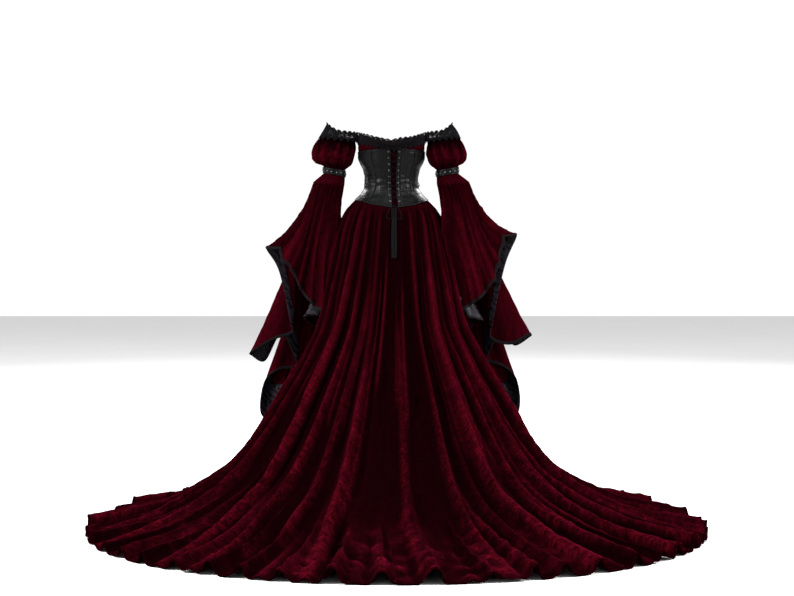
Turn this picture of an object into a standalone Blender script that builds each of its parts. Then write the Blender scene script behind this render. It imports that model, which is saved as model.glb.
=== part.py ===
"""Off-shoulder velvet gown with a laced leather corset, bell sleeves and a round train.

The wearer faces +Y, +X is the wearer's right, +Z is up. The origin is the centre of the waist.
Tables give heights above the floor; a point's Z is its height less WAIST_HEIGHT.
"""

import math

import bmesh
import bpy
import numpy as np

# Driving sizes, in metres

WAIST_HEIGHT = 1.147
SEAM_GAP = 0.0003
VELVET = 0.0020
BODICE_VELVET = 0.0015
SLEEVE_VELVET = 0.0015
LINING = 0.0010
LEATHER = 0.0022
PLACKET_LEATHER = 0.0028
LACE = 0.0010
BRAID = 0.0010

# Under the corset at its upper and its lower edge
CORSET_CLEARANCE = (0.0008, 0.0018)
SKIRT_SEAM_GAP = 0.0006
# Height, and how far the centre back is turned to the wearer's right there, in degrees
BACK_TURN = ((0.0, 0.0), (0.50, 1.5), (0.90, 4.2), (1.05, 5.2), (1.30, 4.0))
# Height, and how far the skirt lies to the wearer's right there
TRAIN_SHIFT = ((0.0, 0.020), (0.05, 0.010), (0.12, -0.004), (0.40, -0.004), (1.00, 0.0))
FLOOR_CLEARANCE = 0.0030
BODY_FLATNESS = 1.25
SHARP_EDGE = 40

# Velvet outer surface, from the neck to the hem on the floor:
# height, half width, reach to the front, reach to the back, and how far back the widest place is
BODY_SECTIONS = (
    (1.340, 0.1150, 0.100, 0.098, 0.000),
    (1.300, 0.1150, 0.108, 0.098, 0.000),
    (1.262, 0.1158, 0.124, 0.096, 0.000),
    (1.228, 0.1155, 0.120, 0.092, 0.000),
    (1.207, 0.1085, 0.108, 0.088, 0.000),
    (1.186, 0.0975, 0.095, 0.083, 0.000),
    (1.147, 0.0905, 0.082, 0.079, 0.000),
    (1.122, 0.0930, 0.084, 0.080, 0.000),
    (1.100, 0.1060, 0.091, 0.086, 0.000),
    (1.079, 0.1270, 0.100, 0.097, 0.002),
    (1.048, 0.1490, 0.111, 0.118, 0.005),
    (1.010, 0.1590, 0.120, 0.142, 0.010),
    (0.920, 0.1720, 0.134, 0.192, 0.025),
    (0.764, 0.2010, 0.156, 0.272, 0.055),
    (0.650, 0.2300, 0.172, 0.348, 0.085),
    (0.534, 0.2900, 0.192, 0.450, 0.135),
    (0.426, 0.3550, 0.215, 0.570, 0.190),
    (0.296, 0.4340, 0.246, 0.755, 0.280),
    (0.180, 0.5300, 0.282, 0.960, 0.380),
    (0.100, 0.6550, 0.315, 1.140, 0.455),
    (0.045, 0.8000, 0.352, 1.350, 0.540),
    (0.004, 1.0000, 0.390, 1.610, 0.610),
)

# Edges that run round the body: angle from the centre back, and height there
CORSET_LOWER_EDGE = ((0, 1.050), (30, 1.062), (60, 1.074), (90, 1.079), (135, 1.070), (165, 1.045), (180, 1.035))
CORSET_UPPER_EDGE = ((0, 1.257), (40, 1.254), (90, 1.248), (130, 1.232), (160, 1.216), (180, 1.208))
NECK_EDGE = ((0, 1.279), (25, 1.288), (60, 1.303), (90, 1.308), (130, 1.300), (160, 1.296), (180, 1.286))

# Skirt rows: height at the side, and how much of the pointed waist each row keeps
SKIRT_ROWS = (
    (1.083, 1.00),
    (1.035, 0.60),
    (0.930, 0.10),
    (0.740, 0.00),
    (0.540, 0.00),
    (0.350, 0.00),
    (0.200, 0.00),
    (0.105, 0.00),
    (0.042, 0.00),
    (0.004, 0.00),
)
COARSE_ROWS = 6
COARSE_COLUMNS = 96
# Swings of the columns' spacing: number round the hem, and degrees
COLUMN_SWINGS = ((3, 1.6), (7, 1.0), (11, 0.5))

# Ruffle waves of the hem
HEM_WAVES = 48
HEM_WAVE_HEIGHTS = ((0, 0.034), (90, 0.030), (180, 0.020))
HEM_WAVE_POWER = 1.5
HEM_WAVE_SPREAD = 0.25
HEM_WAVE_SPREAD_STEP = 2.3
HEM_WAVES_BEGIN = 0.20

# Folds of the skirt: angle from the centre back (plus is the wearer's right), width and share of height
SKIRT_FOLDS = (
    (-160, 8, 0.8), (-146, 7, 0.7), (-131, 8, 0.9), (-117, 7, 0.8), (-104, 7, 0.9),
    (-91, 6, 0.8), (-79, 6, 0.9), (-66, 6, 1.0), (-55, 5, 0.6), (-45, 5, 1.2),
    (-35, 5, 0.9), (-26, 4, 0.5), (-17, 5, 0.9), (-8, 4, 0.4), (7, 4, 0.4),
    (19, 5, 1.1), (28, 4, 0.5), (36, 6, 1.2), (47, 5, 0.6), (56, 6, 0.9),
    (66, 5, 0.6), (77, 6, 1.2), (90, 6, 0.8), (103, 7, 0.9), (117, 7, 0.8),
    (131, 8, 0.9), (146, 7, 0.7), (160, 8, 0.8), (180, 9, 0.6),
)
# Height above the floor, and height of a full fold there
FOLD_GROWTH = ((0.0, 0.004), (0.05, 0.010), (0.18, 0.022), (0.40, 0.020), (0.65, 0.014), (0.90, 0.009), (1.08, 0.005))
FOLDS_BEGIN_OVER = 0.070
FOLD_MIDDLE = 0.45

# Gores: name, first and last column from the centre back
SKIRT_GORES = (
    ("skirt_back_r", 0, 11),
    ("skirt_side_back_r", 11, 22),
    ("skirt_side_front_r", 22, 36),
    ("skirt_front", 36, 60),
    ("skirt_side_front_l", 60, 74),
    ("skirt_side_back_l", 74, 85),
    ("skirt_back_l", 85, 96),
)

BODICE_COLUMNS = 24
BODICE_BACK_END = 6

# Corset panels: name, first and last angle from the centre back, columns
CORSET_SIDE_BEGINS = 40
CORSET_PANELS = (
    ("corset_side_back", CORSET_SIDE_BEGINS, 86, 5),
    ("corset_side_front", 86, 138, 6),
)
# Rows of the corset, as shares of the way from its upper to its lower edge
CORSET_ROWS = (0.0, 0.22, 0.42, 0.56, 0.68, 0.79, 0.90, 1.0)
BODICE_OVER_EDGE = 0.0060
CORSET_FRONT_HALF = 42
CORSET_FRONT_COLUMNS = 12
CORSET_BACK_COLUMNS = 4
# Height, and half the width of the laced gap there
LACED_GAP = ((1.050, 0.0100), (1.147, 0.0085), (1.260, 0.0135))
PLACKET_WIDTH = 0.0115
LACING_STEPS = 9
LACE_CORD = 0.0024

# Lace edging: scallops, and how far the rows under the scalloped one are below the neck edge
NECK_SCALLOPS = 36
SLEEVE_SCALLOPS = 18
SCALLOP_RISE = 0.010
NECK_SCALLOP_LOW = 0.3
SLEEVE_SCALLOP_LOW = 0.1
NECK_LACE_ROWS = (0.003, 0.013, 0.024)

# Rings round an arm: height, inner and outer edge from the body's centre on the wearer's left,
# the same on the right, half depth, and how much higher the outer side is than the inner
SLEEVE_LACE_SECTIONS = (
    (1.3140, 0.1181, 0.2290, 0.1181, 0.2160, 0.0500, 0.010),
    (1.3030, 0.1181, 0.2420, 0.1181, 0.2330, 0.0560, 0.014),
    (1.2860, 0.1186, 0.2600, 0.1186, 0.2469, 0.0615, 0.014),
)
SLEEVE_LACE_RISES = (0.026, 0.012, 0.0)
PUFF_SECTIONS = (
    (1.3000, 0.1220, 0.2400, 0.1220, 0.2300, 0.0540, 0.014),
    (1.2780, 0.1220, 0.2700, 0.1220, 0.2550, 0.0640, 0.012),
    (1.2360, 0.1330, 0.2800, 0.1270, 0.2640, 0.0710, 0.003),
    (1.2080, 0.1430, 0.2680, 0.1390, 0.2560, 0.0620, 0.006),
    (1.1900, 0.1640, 0.2400, 0.1600, 0.2370, 0.0360, 0.014),
    (1.1665, 0.1640, 0.2400, 0.1600, 0.2370, 0.0360, 0.014),
)
PUFF_FULL_ROWS = (1, 2, 3)
PUFF_COLUMNS = 33
PUFF_GATHERS = 11
PUFF_GATHER_DEPTH = 0.0035
PUFF_TWIST = 0.5
BAND_SECTION = (1.1780, 0.1640, 0.2400, 0.1600, 0.2370, 0.0360, 0.014)
BAND_HEIGHT = 0.0225
BAND_CLEARANCE = 0.0009
BAND_COLUMNS = 20
BELL_TOP = (1.1661, 0.1640, 0.2400, 0.1600, 0.2370, 0.0360, 0.014)
BELL_SHOULDER = (1.1380, 0.1680, 0.2740, 0.1630, 0.2740, 0.0520, 0.010)

# Hem of a bell sleeve, round from the wrist by the back, the inside and the front:
# angle at the arm, depth (plus is the front), distance from the body's centre and height
# on the wearer's left, and the same two on the right
BELL_HEM = (
    (2, -0.062, 0.441, 0.905, 0.441, 0.950),
    (40, -0.088, 0.388, 0.838, 0.405, 0.838),
    (92, -0.098, 0.312, 0.748, 0.330, 0.745),
    (128, -0.088, 0.256, 0.686, 0.270, 0.695),
    (142, -0.068, 0.254, 0.676, 0.268, 0.684),
    (158, -0.052, 0.292, 0.668, 0.310, 0.660),
    (170, -0.036, 0.290, 0.660, 0.308, 0.652),
    (184, 0.010, 0.262, 0.640, 0.264, 0.636),
    (204, 0.088, 0.236, 0.580, 0.238, 0.576),
    (236, 0.110, 0.360, 0.330, 0.355, 0.340),
    (258, 0.146, 0.425, 0.285, 0.420, 0.290),
    (274, 0.140, 0.472, 0.300, 0.460, 0.308),
    (283, 0.119, 0.474, 0.368, 0.465, 0.376),
    (290, 0.101, 0.452, 0.432, 0.446, 0.440),
    (297, 0.085, 0.402, 0.470, 0.400, 0.482),
    (304, 0.070, 0.345, 0.478, 0.345, 0.500),
    (310, 0.054, 0.348, 0.520, 0.350, 0.530),
    (316, 0.044, 0.395, 0.598, 0.392, 0.600),
    (322, 0.034, 0.452, 0.505, 0.442, 0.560),
    (328, 0.026, 0.500, 0.525, 0.493, 0.590),
    (334, 0.010, 0.496, 0.536, 0.489, 0.596),
    (340, 0.002, 0.425, 0.580, 0.425, 0.565),
    (346, -0.008, 0.356, 0.605, 0.356, 0.585),
    (350, -0.020, 0.358, 0.640, 0.358, 0.640),
    (354, -0.028, 0.398, 0.820, 0.402, 0.840),
    (358, -0.042, 0.436, 0.898, 0.438, 0.940),
)
COLUMNS_A_HEM_POINT = 2
BELL_STEPS = (0.22, 0.48, 0.74, 1.0)
LINING_FROM_STEP = 2
BELL_FOLDS = 9
PLEATS_FROM = 270
BELL_FOLD_DEPTH = 0.005
TRIM_WIDTH = 0.011
TRIM_LIFT = 0.0009
BELL_FOLD_START = 0.4
BELL_PLEAT_POWER = 1.9
BELL_SMOOTHING = 6
# The inner front of the sleeve hangs towards the body, most half way down
BELL_HANG = 0.014
BELL_HANG_ANGLE = 205

LACING_HEIGHTS = (1.247, 1.072)
LACING_CLEARANCE = 0.0006
# Where a crossing cord leaves the leather: share of the half gap, and share of a step
LACING_BEND = 0.7
LACING_RISE = 0.25

# Bow at the lower end of the lacing
BOW_CENTRE = 0.0100
KNOT_HEIGHT = 1.055
KNOT_OUT = 0.0093
KNOT_HALF_SIZE = (0.0070, 0.0045, 0.0060)
LOOP_START = 0.0105
LOOP_LEAN = 0.0080
LOOP_WIDTH = 0.016
LOOP_LENGTH = 0.045
LOOP_STEPS = 12
LOOP_OUT = 0.0093
LOOP_ENDS_APART = 0.0018
TAPE_TOP = 1.0487
TAPE_WIDTH = 0.009
TAPE_GAP = 0.0008
TAPE_THICKNESS = 0.001
TAPE_LENGTH = 0.172
TAPE_STEPS = 8
TAPE_OUT = 0.0058


# Materials: name, colour and roughness
LOOKS = (
    ("velvet_burgundy", (0.055, 0.002, 0.010), 0.75),
    ("leather_black", (0.012, 0.013, 0.014), 0.42),
    ("leather_placket", (0.010, 0.011, 0.012), 0.45),
    ("lace_black", (0.006, 0.005, 0.006), 0.85),
    ("lining_brocade", (0.015, 0.012, 0.016), 0.50),
    ("braid_black", (0.008, 0.007, 0.008), 0.70),
    ("cord_black", (0.006, 0.006, 0.006), 0.60),
    ("tape_black", (0.008, 0.008, 0.009), 0.50),
)


def clear_scene():
    for old in list(bpy.data.objects):
        bpy.data.objects.remove(old, do_unlink=True)


def material(name, colour, roughness):
    made = bpy.data.materials.new(name)
    made.use_nodes = True
    shader = made.node_tree.nodes["Principled BSDF"]
    shader.inputs["Base Color"].default_value = (*colour, 1.0)
    shader.inputs["Roughness"].default_value = roughness
    made.diffuse_color = (*colour, 1.0)
    return made


def through(table, at, column=1):
    """The value at a place along a table, by a smooth curve that keeps between its rows."""
    rows = sorted(table)
    xs = np.array([row[0] for row in rows], float)
    ys = np.array([row[column] for row in rows], float)
    slopes = np.diff(ys) / np.diff(xs)
    before, after = slopes[:-1], slopes[1:]
    even = before * after > 0
    total = np.where(even, before + after, 1.0)
    inner = np.where(even, 2 * before * after / total, 0.0)
    tangents = np.concatenate(([slopes[0]], inner, [slopes[-1]]))
    at = np.clip(np.asarray(at, float), xs[0], xs[-1])
    k = np.clip(np.searchsorted(xs, at, side="right") - 1, 0, len(xs) - 2)
    step = xs[k + 1] - xs[k]
    t = (at - xs[k]) / step
    return (
        ys[k] * (1 + 2 * t) * (1 - t) ** 2
        + tangents[k] * step * t * (1 - t) ** 2
        + ys[k + 1] * t * t * (3 - 2 * t)
        + tangents[k + 1] * step * t * t * (t - 1)
    )


def edge_height(edge, angle):
    """Height of an edge that is the same on both sides, at an angle in degrees."""
    turned = np.abs((np.asarray(angle, float) + 180) % 360 - 180)
    return through(edge, turned)


def body_point(angle, height, out=0.0):
    """A point of the velvet's outer surface; angles are from the centre back, in degrees."""
    angle = np.asarray(angle, float)
    height = np.asarray(height, float)
    turn = np.radians(angle - 90 + through(BACK_TURN, height))
    half = through(BODY_SECTIONS, height, 1) + out
    front = through(BODY_SECTIONS, height, 2) + out
    back = through(BODY_SECTIONS, height, 3) + out
    centre = -through(BODY_SECTIONS, height, 4)
    reach = np.where(np.sin(turn) > 0, front - centre, back + centre)
    x = half * np.cos(turn) + through(TRAIN_SHIFT, height)
    y = centre + reach * np.sin(turn)
    return np.stack(np.broadcast_arrays(x, y, height - WAIST_HEIGHT), axis=-1)


def strip(upper, lower, closed):
    """Triangles between two rows of point numbers; the lower row has as many steps or twice as many."""
    steps = len(upper) if closed else len(upper) - 1
    double = len(lower) > len(upper)
    faces = []
    for j in range(steps):
        a, b = upper[j], upper[(j + 1) % len(upper)]
        if double:
            c, m, d = lower[2 * j], lower[2 * j + 1], lower[(2 * j + 2) % len(lower)]
            faces += [(a, c, m), (a, m, b), (m, d, b)]
        else:
            c, d = lower[j], lower[(j + 1) % len(lower)]
            faces += [(a, c, d), (a, d, b)]
    return faces


def number_rows(rows):
    """Point numbers of rows of points that follow each other in one list."""
    starts = np.cumsum([0] + [len(row) for row in rows])
    return [list(range(starts[i], starts[i + 1])) for i in range(len(rows))]


def grid_faces(rows, closed, left_out=()):
    numbers = number_rows(rows)
    faces = []
    for i in range(len(rows) - 1):
        made = strip(numbers[i], numbers[i + 1], closed)
        faces += [f for k, f in enumerate(made) if (i, k // 2) not in left_out]
    return faces


def normals_of(points, faces):
    """Outward directions at the points, from the triangles that meet there."""
    faces = np.array(faces)
    a, b, c = points[faces[:, 0]], points[faces[:, 1]], points[faces[:, 2]]
    across = np.cross(b - a, c - a)
    total = np.zeros_like(points)
    for corner in range(3):
        np.add.at(total, faces[:, corner], across)
    length = np.linalg.norm(total, axis=1, keepdims=True)
    return total / np.maximum(length, 1e-12)


def solid(name, outer, inner, faces, look):
    """A wall between two surfaces with the same triangles, closed along every open edge."""
    count = len(outer)
    edges = {}
    for face in faces:
        for k in range(3):
            edges[(face[k], face[(k + 1) % 3])] = True
    every = [tuple(face) for face in faces]
    every += [(c + count, b + count, a + count) for a, b, c in faces]
    for a, b in edges:
        if (b, a) not in edges:
            every += [(b, a, a + count), (b, a + count, b + count)]
    points = np.concatenate([outer, inner])
    used = sorted({k for face in every for k in face})
    renumber = {k: i for i, k in enumerate(used)}
    mesh = bpy.data.meshes.new(name)
    mesh.from_pydata(
        [tuple(points[k]) for k in used], [], [tuple(renumber[k] for k in f) for f in every]
    )
    mesh.materials.append(look)
    mesh.shade_smooth()
    mesh.set_sharp_from_angle(angle=math.radians(SHARP_EDGE))
    return place(name, mesh)


def place(name, mesh):
    made = bpy.data.objects.new(name, mesh)
    bpy.context.scene.collection.objects.link(made)
    made.parent = bpy.data.objects["gown"]
    return made


def turned_round(faces, turn):
    return [(c, b, a) for a, b, c in faces] if turn else faces


def part_seam(rows, gap=SEAM_GAP):
    """Draws the two open ends of each row in by half a seam gap."""
    drawn = []
    for row in rows:
        row = np.array(row)
        for end, neighbour in ((0, 1), (-1, -2)):
            way = row[neighbour] - row[end]
            row[end] += way / np.linalg.norm(way) * gap / 2
        drawn.append(row)
    return drawn


def column_angles(columns):
    """Angles of the skirt's columns, with unevenly wide hem waves."""
    even = np.arange(columns) * 360.0 / columns
    return even + sum(size * np.sin(number * np.radians(even)) for number, size in COLUMN_SWINGS)


def skirt_fold(angle, height):
    """How far the folds push the skirt out at an angle and a height."""
    begun = np.clip((edge_height(CORSET_LOWER_EDGE, angle) - height) / FOLDS_BEGIN_OVER, 0, 1)
    push = np.zeros_like(angle)
    for centre, width, share in SKIRT_FOLDS:
        away = (angle - centre + 180) % 360 - 180
        push += share * np.exp(-((away / width) ** 2))
    return (push - FOLD_MIDDLE) * begun * through(FOLD_GROWTH, height)


def hem_wave(columns):
    """Share of the wave height at each column: a narrow flute, then the hem on the floor."""
    each = columns // HEM_WAVES
    along = (np.arange(columns) + 1) / each
    flute = (0.5 + 0.5 * np.cos(2 * np.pi * along)) ** HEM_WAVE_POWER
    size = 1 + HEM_WAVE_SPREAD * np.sin(HEM_WAVE_SPREAD_STEP * np.floor(along + 0.5))
    return flute * size


def skirt_row(level, keep, columns):
    angle = column_angles(columns)
    point = edge_height(CORSET_LOWER_EDGE, angle) - edge_height(CORSET_LOWER_EDGE, 90)
    height = np.maximum(level + keep * point, 0.0)
    row = body_point(angle, height, skirt_fold(angle, height))
    if columns > COARSE_COLUMNS:
        near_hem = np.clip(1 - level / HEM_WAVES_BEGIN, 0, 1) ** HEM_WAVE_POWER
        row[:, 2] += edge_height(HEM_WAVE_HEIGHTS, angle) * near_hem * hem_wave(columns)
    row[:, 2] = np.maximum(row[:, 2], FLOOR_CLEARANCE - WAIST_HEIGHT)
    return row


def make_skirt(velvet):
    rows = []
    for i, (level, keep) in enumerate(SKIRT_ROWS):
        columns = COARSE_COLUMNS if i < COARSE_ROWS else 2 * COARSE_COLUMNS
        rows.append(skirt_row(level, keep, columns))
    faces = grid_faces(rows, True)
    points = np.concatenate(rows)
    inward = normals_of(points, faces) * VELVET
    inner_points = points - inward
    numbers = number_rows(rows)
    for name, first, last in SKIRT_GORES:
        outer, inner = [], []
        for row in numbers:
            scale = len(row) // COARSE_COLUMNS
            picked = [row[j % len(row)] for j in range(first * scale, last * scale + 1)]
            outer.append(points[picked])
            inner.append(inner_points[picked])
        gore_faces = grid_faces(outer, False)
        outside = np.concatenate(part_seam(outer, SKIRT_SEAM_GAP))
        inside = np.concatenate(part_seam(inner, SKIRT_SEAM_GAP))
        solid(name, outside, inside, gore_faces, velvet)


def bodice_rows(angles):
    """Rows of the velvet bodice, from the neck edge to the seam with the skirt."""
    top = edge_height(NECK_EDGE, angles)
    middle = edge_height(CORSET_UPPER_EDGE, angles)
    low = edge_height(CORSET_LOWER_EDGE, angles)
    heights = [top, middle]
    heights += [middle + (low - middle) * share for share in CORSET_ROWS[1:-1]]
    heights.append(low + BODICE_OVER_EDGE)
    return [body_point(angles, h) for h in heights]


def make_bodice(velvet):
    for name, first, last in (
        ("bodice_back", -BODICE_BACK_END, BODICE_BACK_END),
        ("bodice_front", BODICE_BACK_END, BODICE_COLUMNS - BODICE_BACK_END),
    ):
        rows = bodice_rows(np.arange(first, last + 1) * 360.0 / BODICE_COLUMNS)
        faces = grid_faces(rows, False)
        points = np.concatenate(part_seam(rows))
        inward = radial(points) * BODICE_VELVET
        solid(name, points, points - inward, faces, velvet)


def radial(points):
    """Level directions away from the body's axis, wider than deep like the body."""
    way = points * np.array([1.0, BODY_FLATNESS, 0.0])
    return way / np.linalg.norm(way, axis=1, keepdims=True)


def gap_angle(extra, height):
    """Angle at which a line lies beside the laced gap, as far from its edge as stated."""
    half = through(LACED_GAP, height) + extra
    wide = through(BODY_SECTIONS, height, 1)
    return np.degrees(np.arcsin(half / wide))


def corset_grid(first, last, columns, thickness):
    """Points of a panel between two edges, each an angle or a function of the height."""
    outer, inner = [], []
    for share in CORSET_ROWS:
        row_out, row_in = [], []
        low_out = CORSET_CLEARANCE[0] * (1 - share) + CORSET_CLEARANCE[1] * share
        level = edge_height(CORSET_UPPER_EDGE, 0) * (1 - share) + edge_height(CORSET_LOWER_EDGE, 0) * share
        for j in range(columns + 1):
            begin = first(level) if callable(first) else first
            end = last(level) if callable(last) else last
            angle = begin + (end - begin) * j / columns
            height = edge_height(CORSET_UPPER_EDGE, angle) * (1 - share)
            height = height + edge_height(CORSET_LOWER_EDGE, angle) * share
            point = body_point(angle, height)
            way = radial(point[None, :])[0]
            row_out.append(point + way * (low_out + thickness))
            row_in.append(point + way * low_out)
        outer.append(np.array(row_out))
        inner.append(np.array(row_in))
    return outer, inner


def corset_panel(name, first, last, columns, thickness, look):
    outer, inner = corset_grid(first, last, columns, thickness)
    faces = grid_faces(outer, False)
    solid(name, np.concatenate(part_seam(outer)), np.concatenate(part_seam(inner)), faces, look)


def make_corset(leather, placket_leather):
    for side, sign in (("r", 1), ("l", -1)):
        def inner_edge(height):
            return sign * gap_angle(0, height)

        def placket_edge(height):
            return sign * gap_angle(PLACKET_WIDTH, height)

        runs = [
            ("corset_placket", inner_edge, placket_edge, 1, PLACKET_LEATHER, placket_leather),
            ("corset_back", placket_edge, sign * CORSET_SIDE_BEGINS, CORSET_BACK_COLUMNS, LEATHER, leather),
        ]
        runs += [
            (name, sign * first, sign * last, columns, LEATHER, leather)
            for name, first, last, columns in CORSET_PANELS
        ]
        for name, first, last, columns, thickness, look in runs:
            if sign < 0:
                first, last = last, first
            corset_panel(f"{name}_{side}", first, last, columns, thickness, look)
    corset_panel(
        "corset_front", 180 - CORSET_FRONT_HALF, 180 + CORSET_FRONT_HALF, CORSET_FRONT_COLUMNS, LEATHER, leather
    )


def scallops(number, low):
    """Rise of the lace's upper edge at numbered columns: two columns a scallop."""
    return SCALLOP_RISE * np.where(number % 2 == 1, 1.0, low)


def lace_gaps(number):
    """Cells of the second strip that are left open, one to a scallop."""
    return {(1, j) for j in range(len(number) - 1) if number[j] % 2 == 0}


def make_neck_lace(lace):
    columns = 2 * NECK_SCALLOPS
    quarter = columns // 4
    for name, first, last in (
        ("neck_lace_back", -quarter, quarter),
        ("neck_lace_front", quarter, columns - quarter),
    ):
        number = np.arange(first, last + 1)
        angles = number * 360.0 / columns
        edge = edge_height(NECK_EDGE, angles)
        rows = [body_point(angles, edge + scallops(number, NECK_SCALLOP_LOW))]
        rows += [body_point(angles, edge - below) for below in NECK_LACE_ROWS]
        faces = grid_faces(rows, False, lace_gaps(number))
        points = np.concatenate(part_seam(rows))
        way = radial(points)
        solid(name, points + way * (SEAM_GAP + LACE), points + way * SEAM_GAP, faces, lace)


def ring(section, angles, side, out=0.0):
    """A level or slightly sloping ring round an arm; angle 0 is outward, 90 is the back."""
    height, inner_left, outer_left, inner_right, outer_right, half_depth, slope = section
    inner, outer = (inner_right, outer_right) if side > 0 else (inner_left, outer_left)
    turn = np.radians(angles)
    half = (outer - inner) / 2 + out
    x = side * ((inner + outer) / 2 + half * np.cos(turn))
    y = -(half_depth + out) * np.sin(turn)
    z = height + slope / 2 * np.cos(turn) - WAIST_HEIGHT
    return np.stack([x, y, z], axis=-1)


def away_from_arm(section, angles, side):
    return ring(section, angles, side, 1.0) - ring(section, angles, side)


def make_sleeve_lace(lace):
    columns = 2 * SLEEVE_SCALLOPS
    for side_name, side in (("r", 1), ("l", -1)):
        for part, first, last in (("back", 0, columns // 2), ("front", columns // 2, columns)):
            number = np.arange(first, last + 1)
            angles = number * 360.0 / columns
            outward = np.clip(np.cos(np.radians(angles)), 0, 1) ** 2
            rises = [outward * rise for rise in SLEEVE_LACE_RISES]
            rises[0] = rises[0] + scallops(number, SLEEVE_SCALLOP_LOW)
            outer, inner = [], []
            for section, rise in zip(SLEEVE_LACE_SECTIONS, rises):
                lift = rise[:, None] * np.array([0.0, 0.0, 1.0])
                outer.append(ring(section, angles, side, LACE) + lift)
                inner.append(ring(section, angles, side) + lift)
            faces = turned_round(grid_faces(outer, False, lace_gaps(number)), side > 0)
            name = f"sleeve_lace_{part}_{side_name}"
            solid(name, np.concatenate(part_seam(outer)), np.concatenate(part_seam(inner)), faces, lace)


def make_puffs(velvet):
    angles = np.arange(PUFF_COLUMNS) * 360.0 / PUFF_COLUMNS
    for side_name, side in (("r", 1), ("l", -1)):
        rows = []
        for k, section in enumerate(PUFF_SECTIONS):
            depth = PUFF_GATHER_DEPTH if k in PUFF_FULL_ROWS else 0.0
            wave = np.cos(np.radians(angles * PUFF_GATHERS) + PUFF_TWIST * k)
            away = away_from_arm(section, angles, side)
            rows.append(ring(section, angles, side) + away * (depth * (wave - 1) / 2)[:, None])
        faces = turned_round(grid_faces(rows, True), side > 0)
        points = np.concatenate(rows)
        inner = points - normals_of(points, faces) * SLEEVE_VELVET
        solid(f"puff_{side_name}", points, inner, faces, velvet)


def make_bands(leather):
    angles = np.arange(BAND_COLUMNS) * 360.0 / BAND_COLUMNS
    for side_name, side in (("r", 1), ("l", -1)):
        outer, inner = [], []
        for offset in (BAND_HEIGHT / 2, -BAND_HEIGHT / 2):
            section = (BAND_SECTION[0] + offset, *BAND_SECTION[1:])
            outer.append(ring(section, angles, side, BAND_CLEARANCE + LEATHER))
            inner.append(ring(section, angles, side, BAND_CLEARANCE))
        faces = turned_round(grid_faces(outer, True), side > 0)
        solid(f"arm_band_{side_name}", np.concatenate(outer), np.concatenate(inner), faces, leather)


def smooth_loop(keys, steps):
    """A closed curve through the key rows, by Catmull-Rom."""
    keys = np.array(keys, float)
    count = len(keys)
    made = []
    for k in range(count):
        a, b, c, d = (keys[(k + n) % count] for n in (-1, 0, 1, 2))
        for s in range(steps):
            t = s / steps
            made.append(
                0.5 * (2 * b + (c - a) * t + (2 * a - 5 * b + 4 * c - d) * t**2 + (3 * b - a - 3 * c + d) * t**3)
            )
    return np.array(made)


def bell_angles():
    keys = [row[0] for row in BELL_HEM] + [BELL_HEM[0][0] + 360]
    made = []
    for a, b in zip(keys, keys[1:]):
        made += [a + (b - a) * s / COLUMNS_A_HEM_POINT for s in range(COLUMNS_A_HEM_POINT)]
    return np.array(made)


def bell_rows(side):
    """Rows of a bell sleeve's outer surface, from the band to the hem."""
    angles = bell_angles()
    if side > 0:
        keys = [(side * row[4], row[1], row[5] - WAIST_HEIGHT) for row in BELL_HEM]
    else:
        keys = [(side * row[2], row[1], row[3] - WAIST_HEIGHT) for row in BELL_HEM]
    hem = smooth_loop(keys, COLUMNS_A_HEM_POINT)
    even = evened(hem)
    top = ring(BELL_TOP, angles, side)
    shoulder = ring(BELL_SHOULDER, angles, side)
    out = away_from_arm(BELL_SHOULDER, angles, side)
    hang = np.clip(np.cos(np.radians(angles - BELL_HANG_ANGLE)), 0, 1)
    inward = np.outer(hang, (-side * BELL_HANG, 0.0, 0.0))
    rows = [top, shoulder]
    for share in BELL_STEPS:
        row = shoulder + (even - shoulder) * share + (hem - even) * share**BELL_PLEAT_POWER
        middle = 4 * share * (1 - share)
        wave = np.cos(np.radians(angles * BELL_FOLDS) + BELL_FOLD_START) * (angles < PLEATS_FROM)
        rows.append(row + inward * middle + out * (BELL_FOLD_DEPTH * middle * (wave - 1) / 2)[:, None])
    return rows


def evened(loop):
    """The loop with its pleats smoothed away."""
    reach = range(-BELL_SMOOTHING, BELL_SMOOTHING + 1)
    return sum(np.roll(loop, k, axis=0) for k in reach) / len(reach)


def make_bells(velvet, lining, braid):
    for side_name, side in (("r", 1), ("l", -1)):
        rows = bell_rows(side)
        faces = turned_round(grid_faces(rows, True), side > 0)
        points = np.concatenate(rows)
        outward = normals_of(points, faces)
        solid(f"bell_{side_name}", points, points - outward * SLEEVE_VELVET, faces, velvet)

        first = (LINING_FROM_STEP + 2) * len(rows[0])
        kept = rows[LINING_FROM_STEP + 2 :]
        kept_faces = turned_round(grid_faces(kept, True), side > 0)
        depth = SLEEVE_VELVET + SEAM_GAP
        base, way = points[first:], outward[first:]
        solid(f"bell_lining_{side_name}", base - way * depth, base - way * (depth + LINING), kept_faces, lining)

        hem, above = rows[-1], rows[-2]
        upward = above - hem
        upward /= np.linalg.norm(upward, axis=1, keepdims=True)
        way = outward[-len(hem) :]
        upper = hem + upward * TRIM_WIDTH + way * TRIM_LIFT
        inside = np.concatenate([upper, hem + way * SEAM_GAP])
        outside = inside + np.concatenate([way, way]) * BRAID
        trim_faces = turned_round(grid_faces([hem, hem], True), side > 0)
        solid(f"bell_trim_{side_name}", outside, inside, trim_faces, braid)


def tube(name, points, diameter, look, sides=2):
    """A cord as a polyline with a round section and closed ends."""
    curve = bpy.data.curves.new(name, "CURVE")
    curve.dimensions = "3D"
    curve.bevel_depth = diameter / 2
    curve.bevel_resolution = sides
    curve.use_fill_caps = True
    line = curve.splines.new("POLY")
    line.points.add(len(points) - 1)
    for point, place_at in zip(line.points, points):
        point.co = (*place_at, 1.0)
    curve.materials.append(look)
    return place(name, curve)


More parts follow.
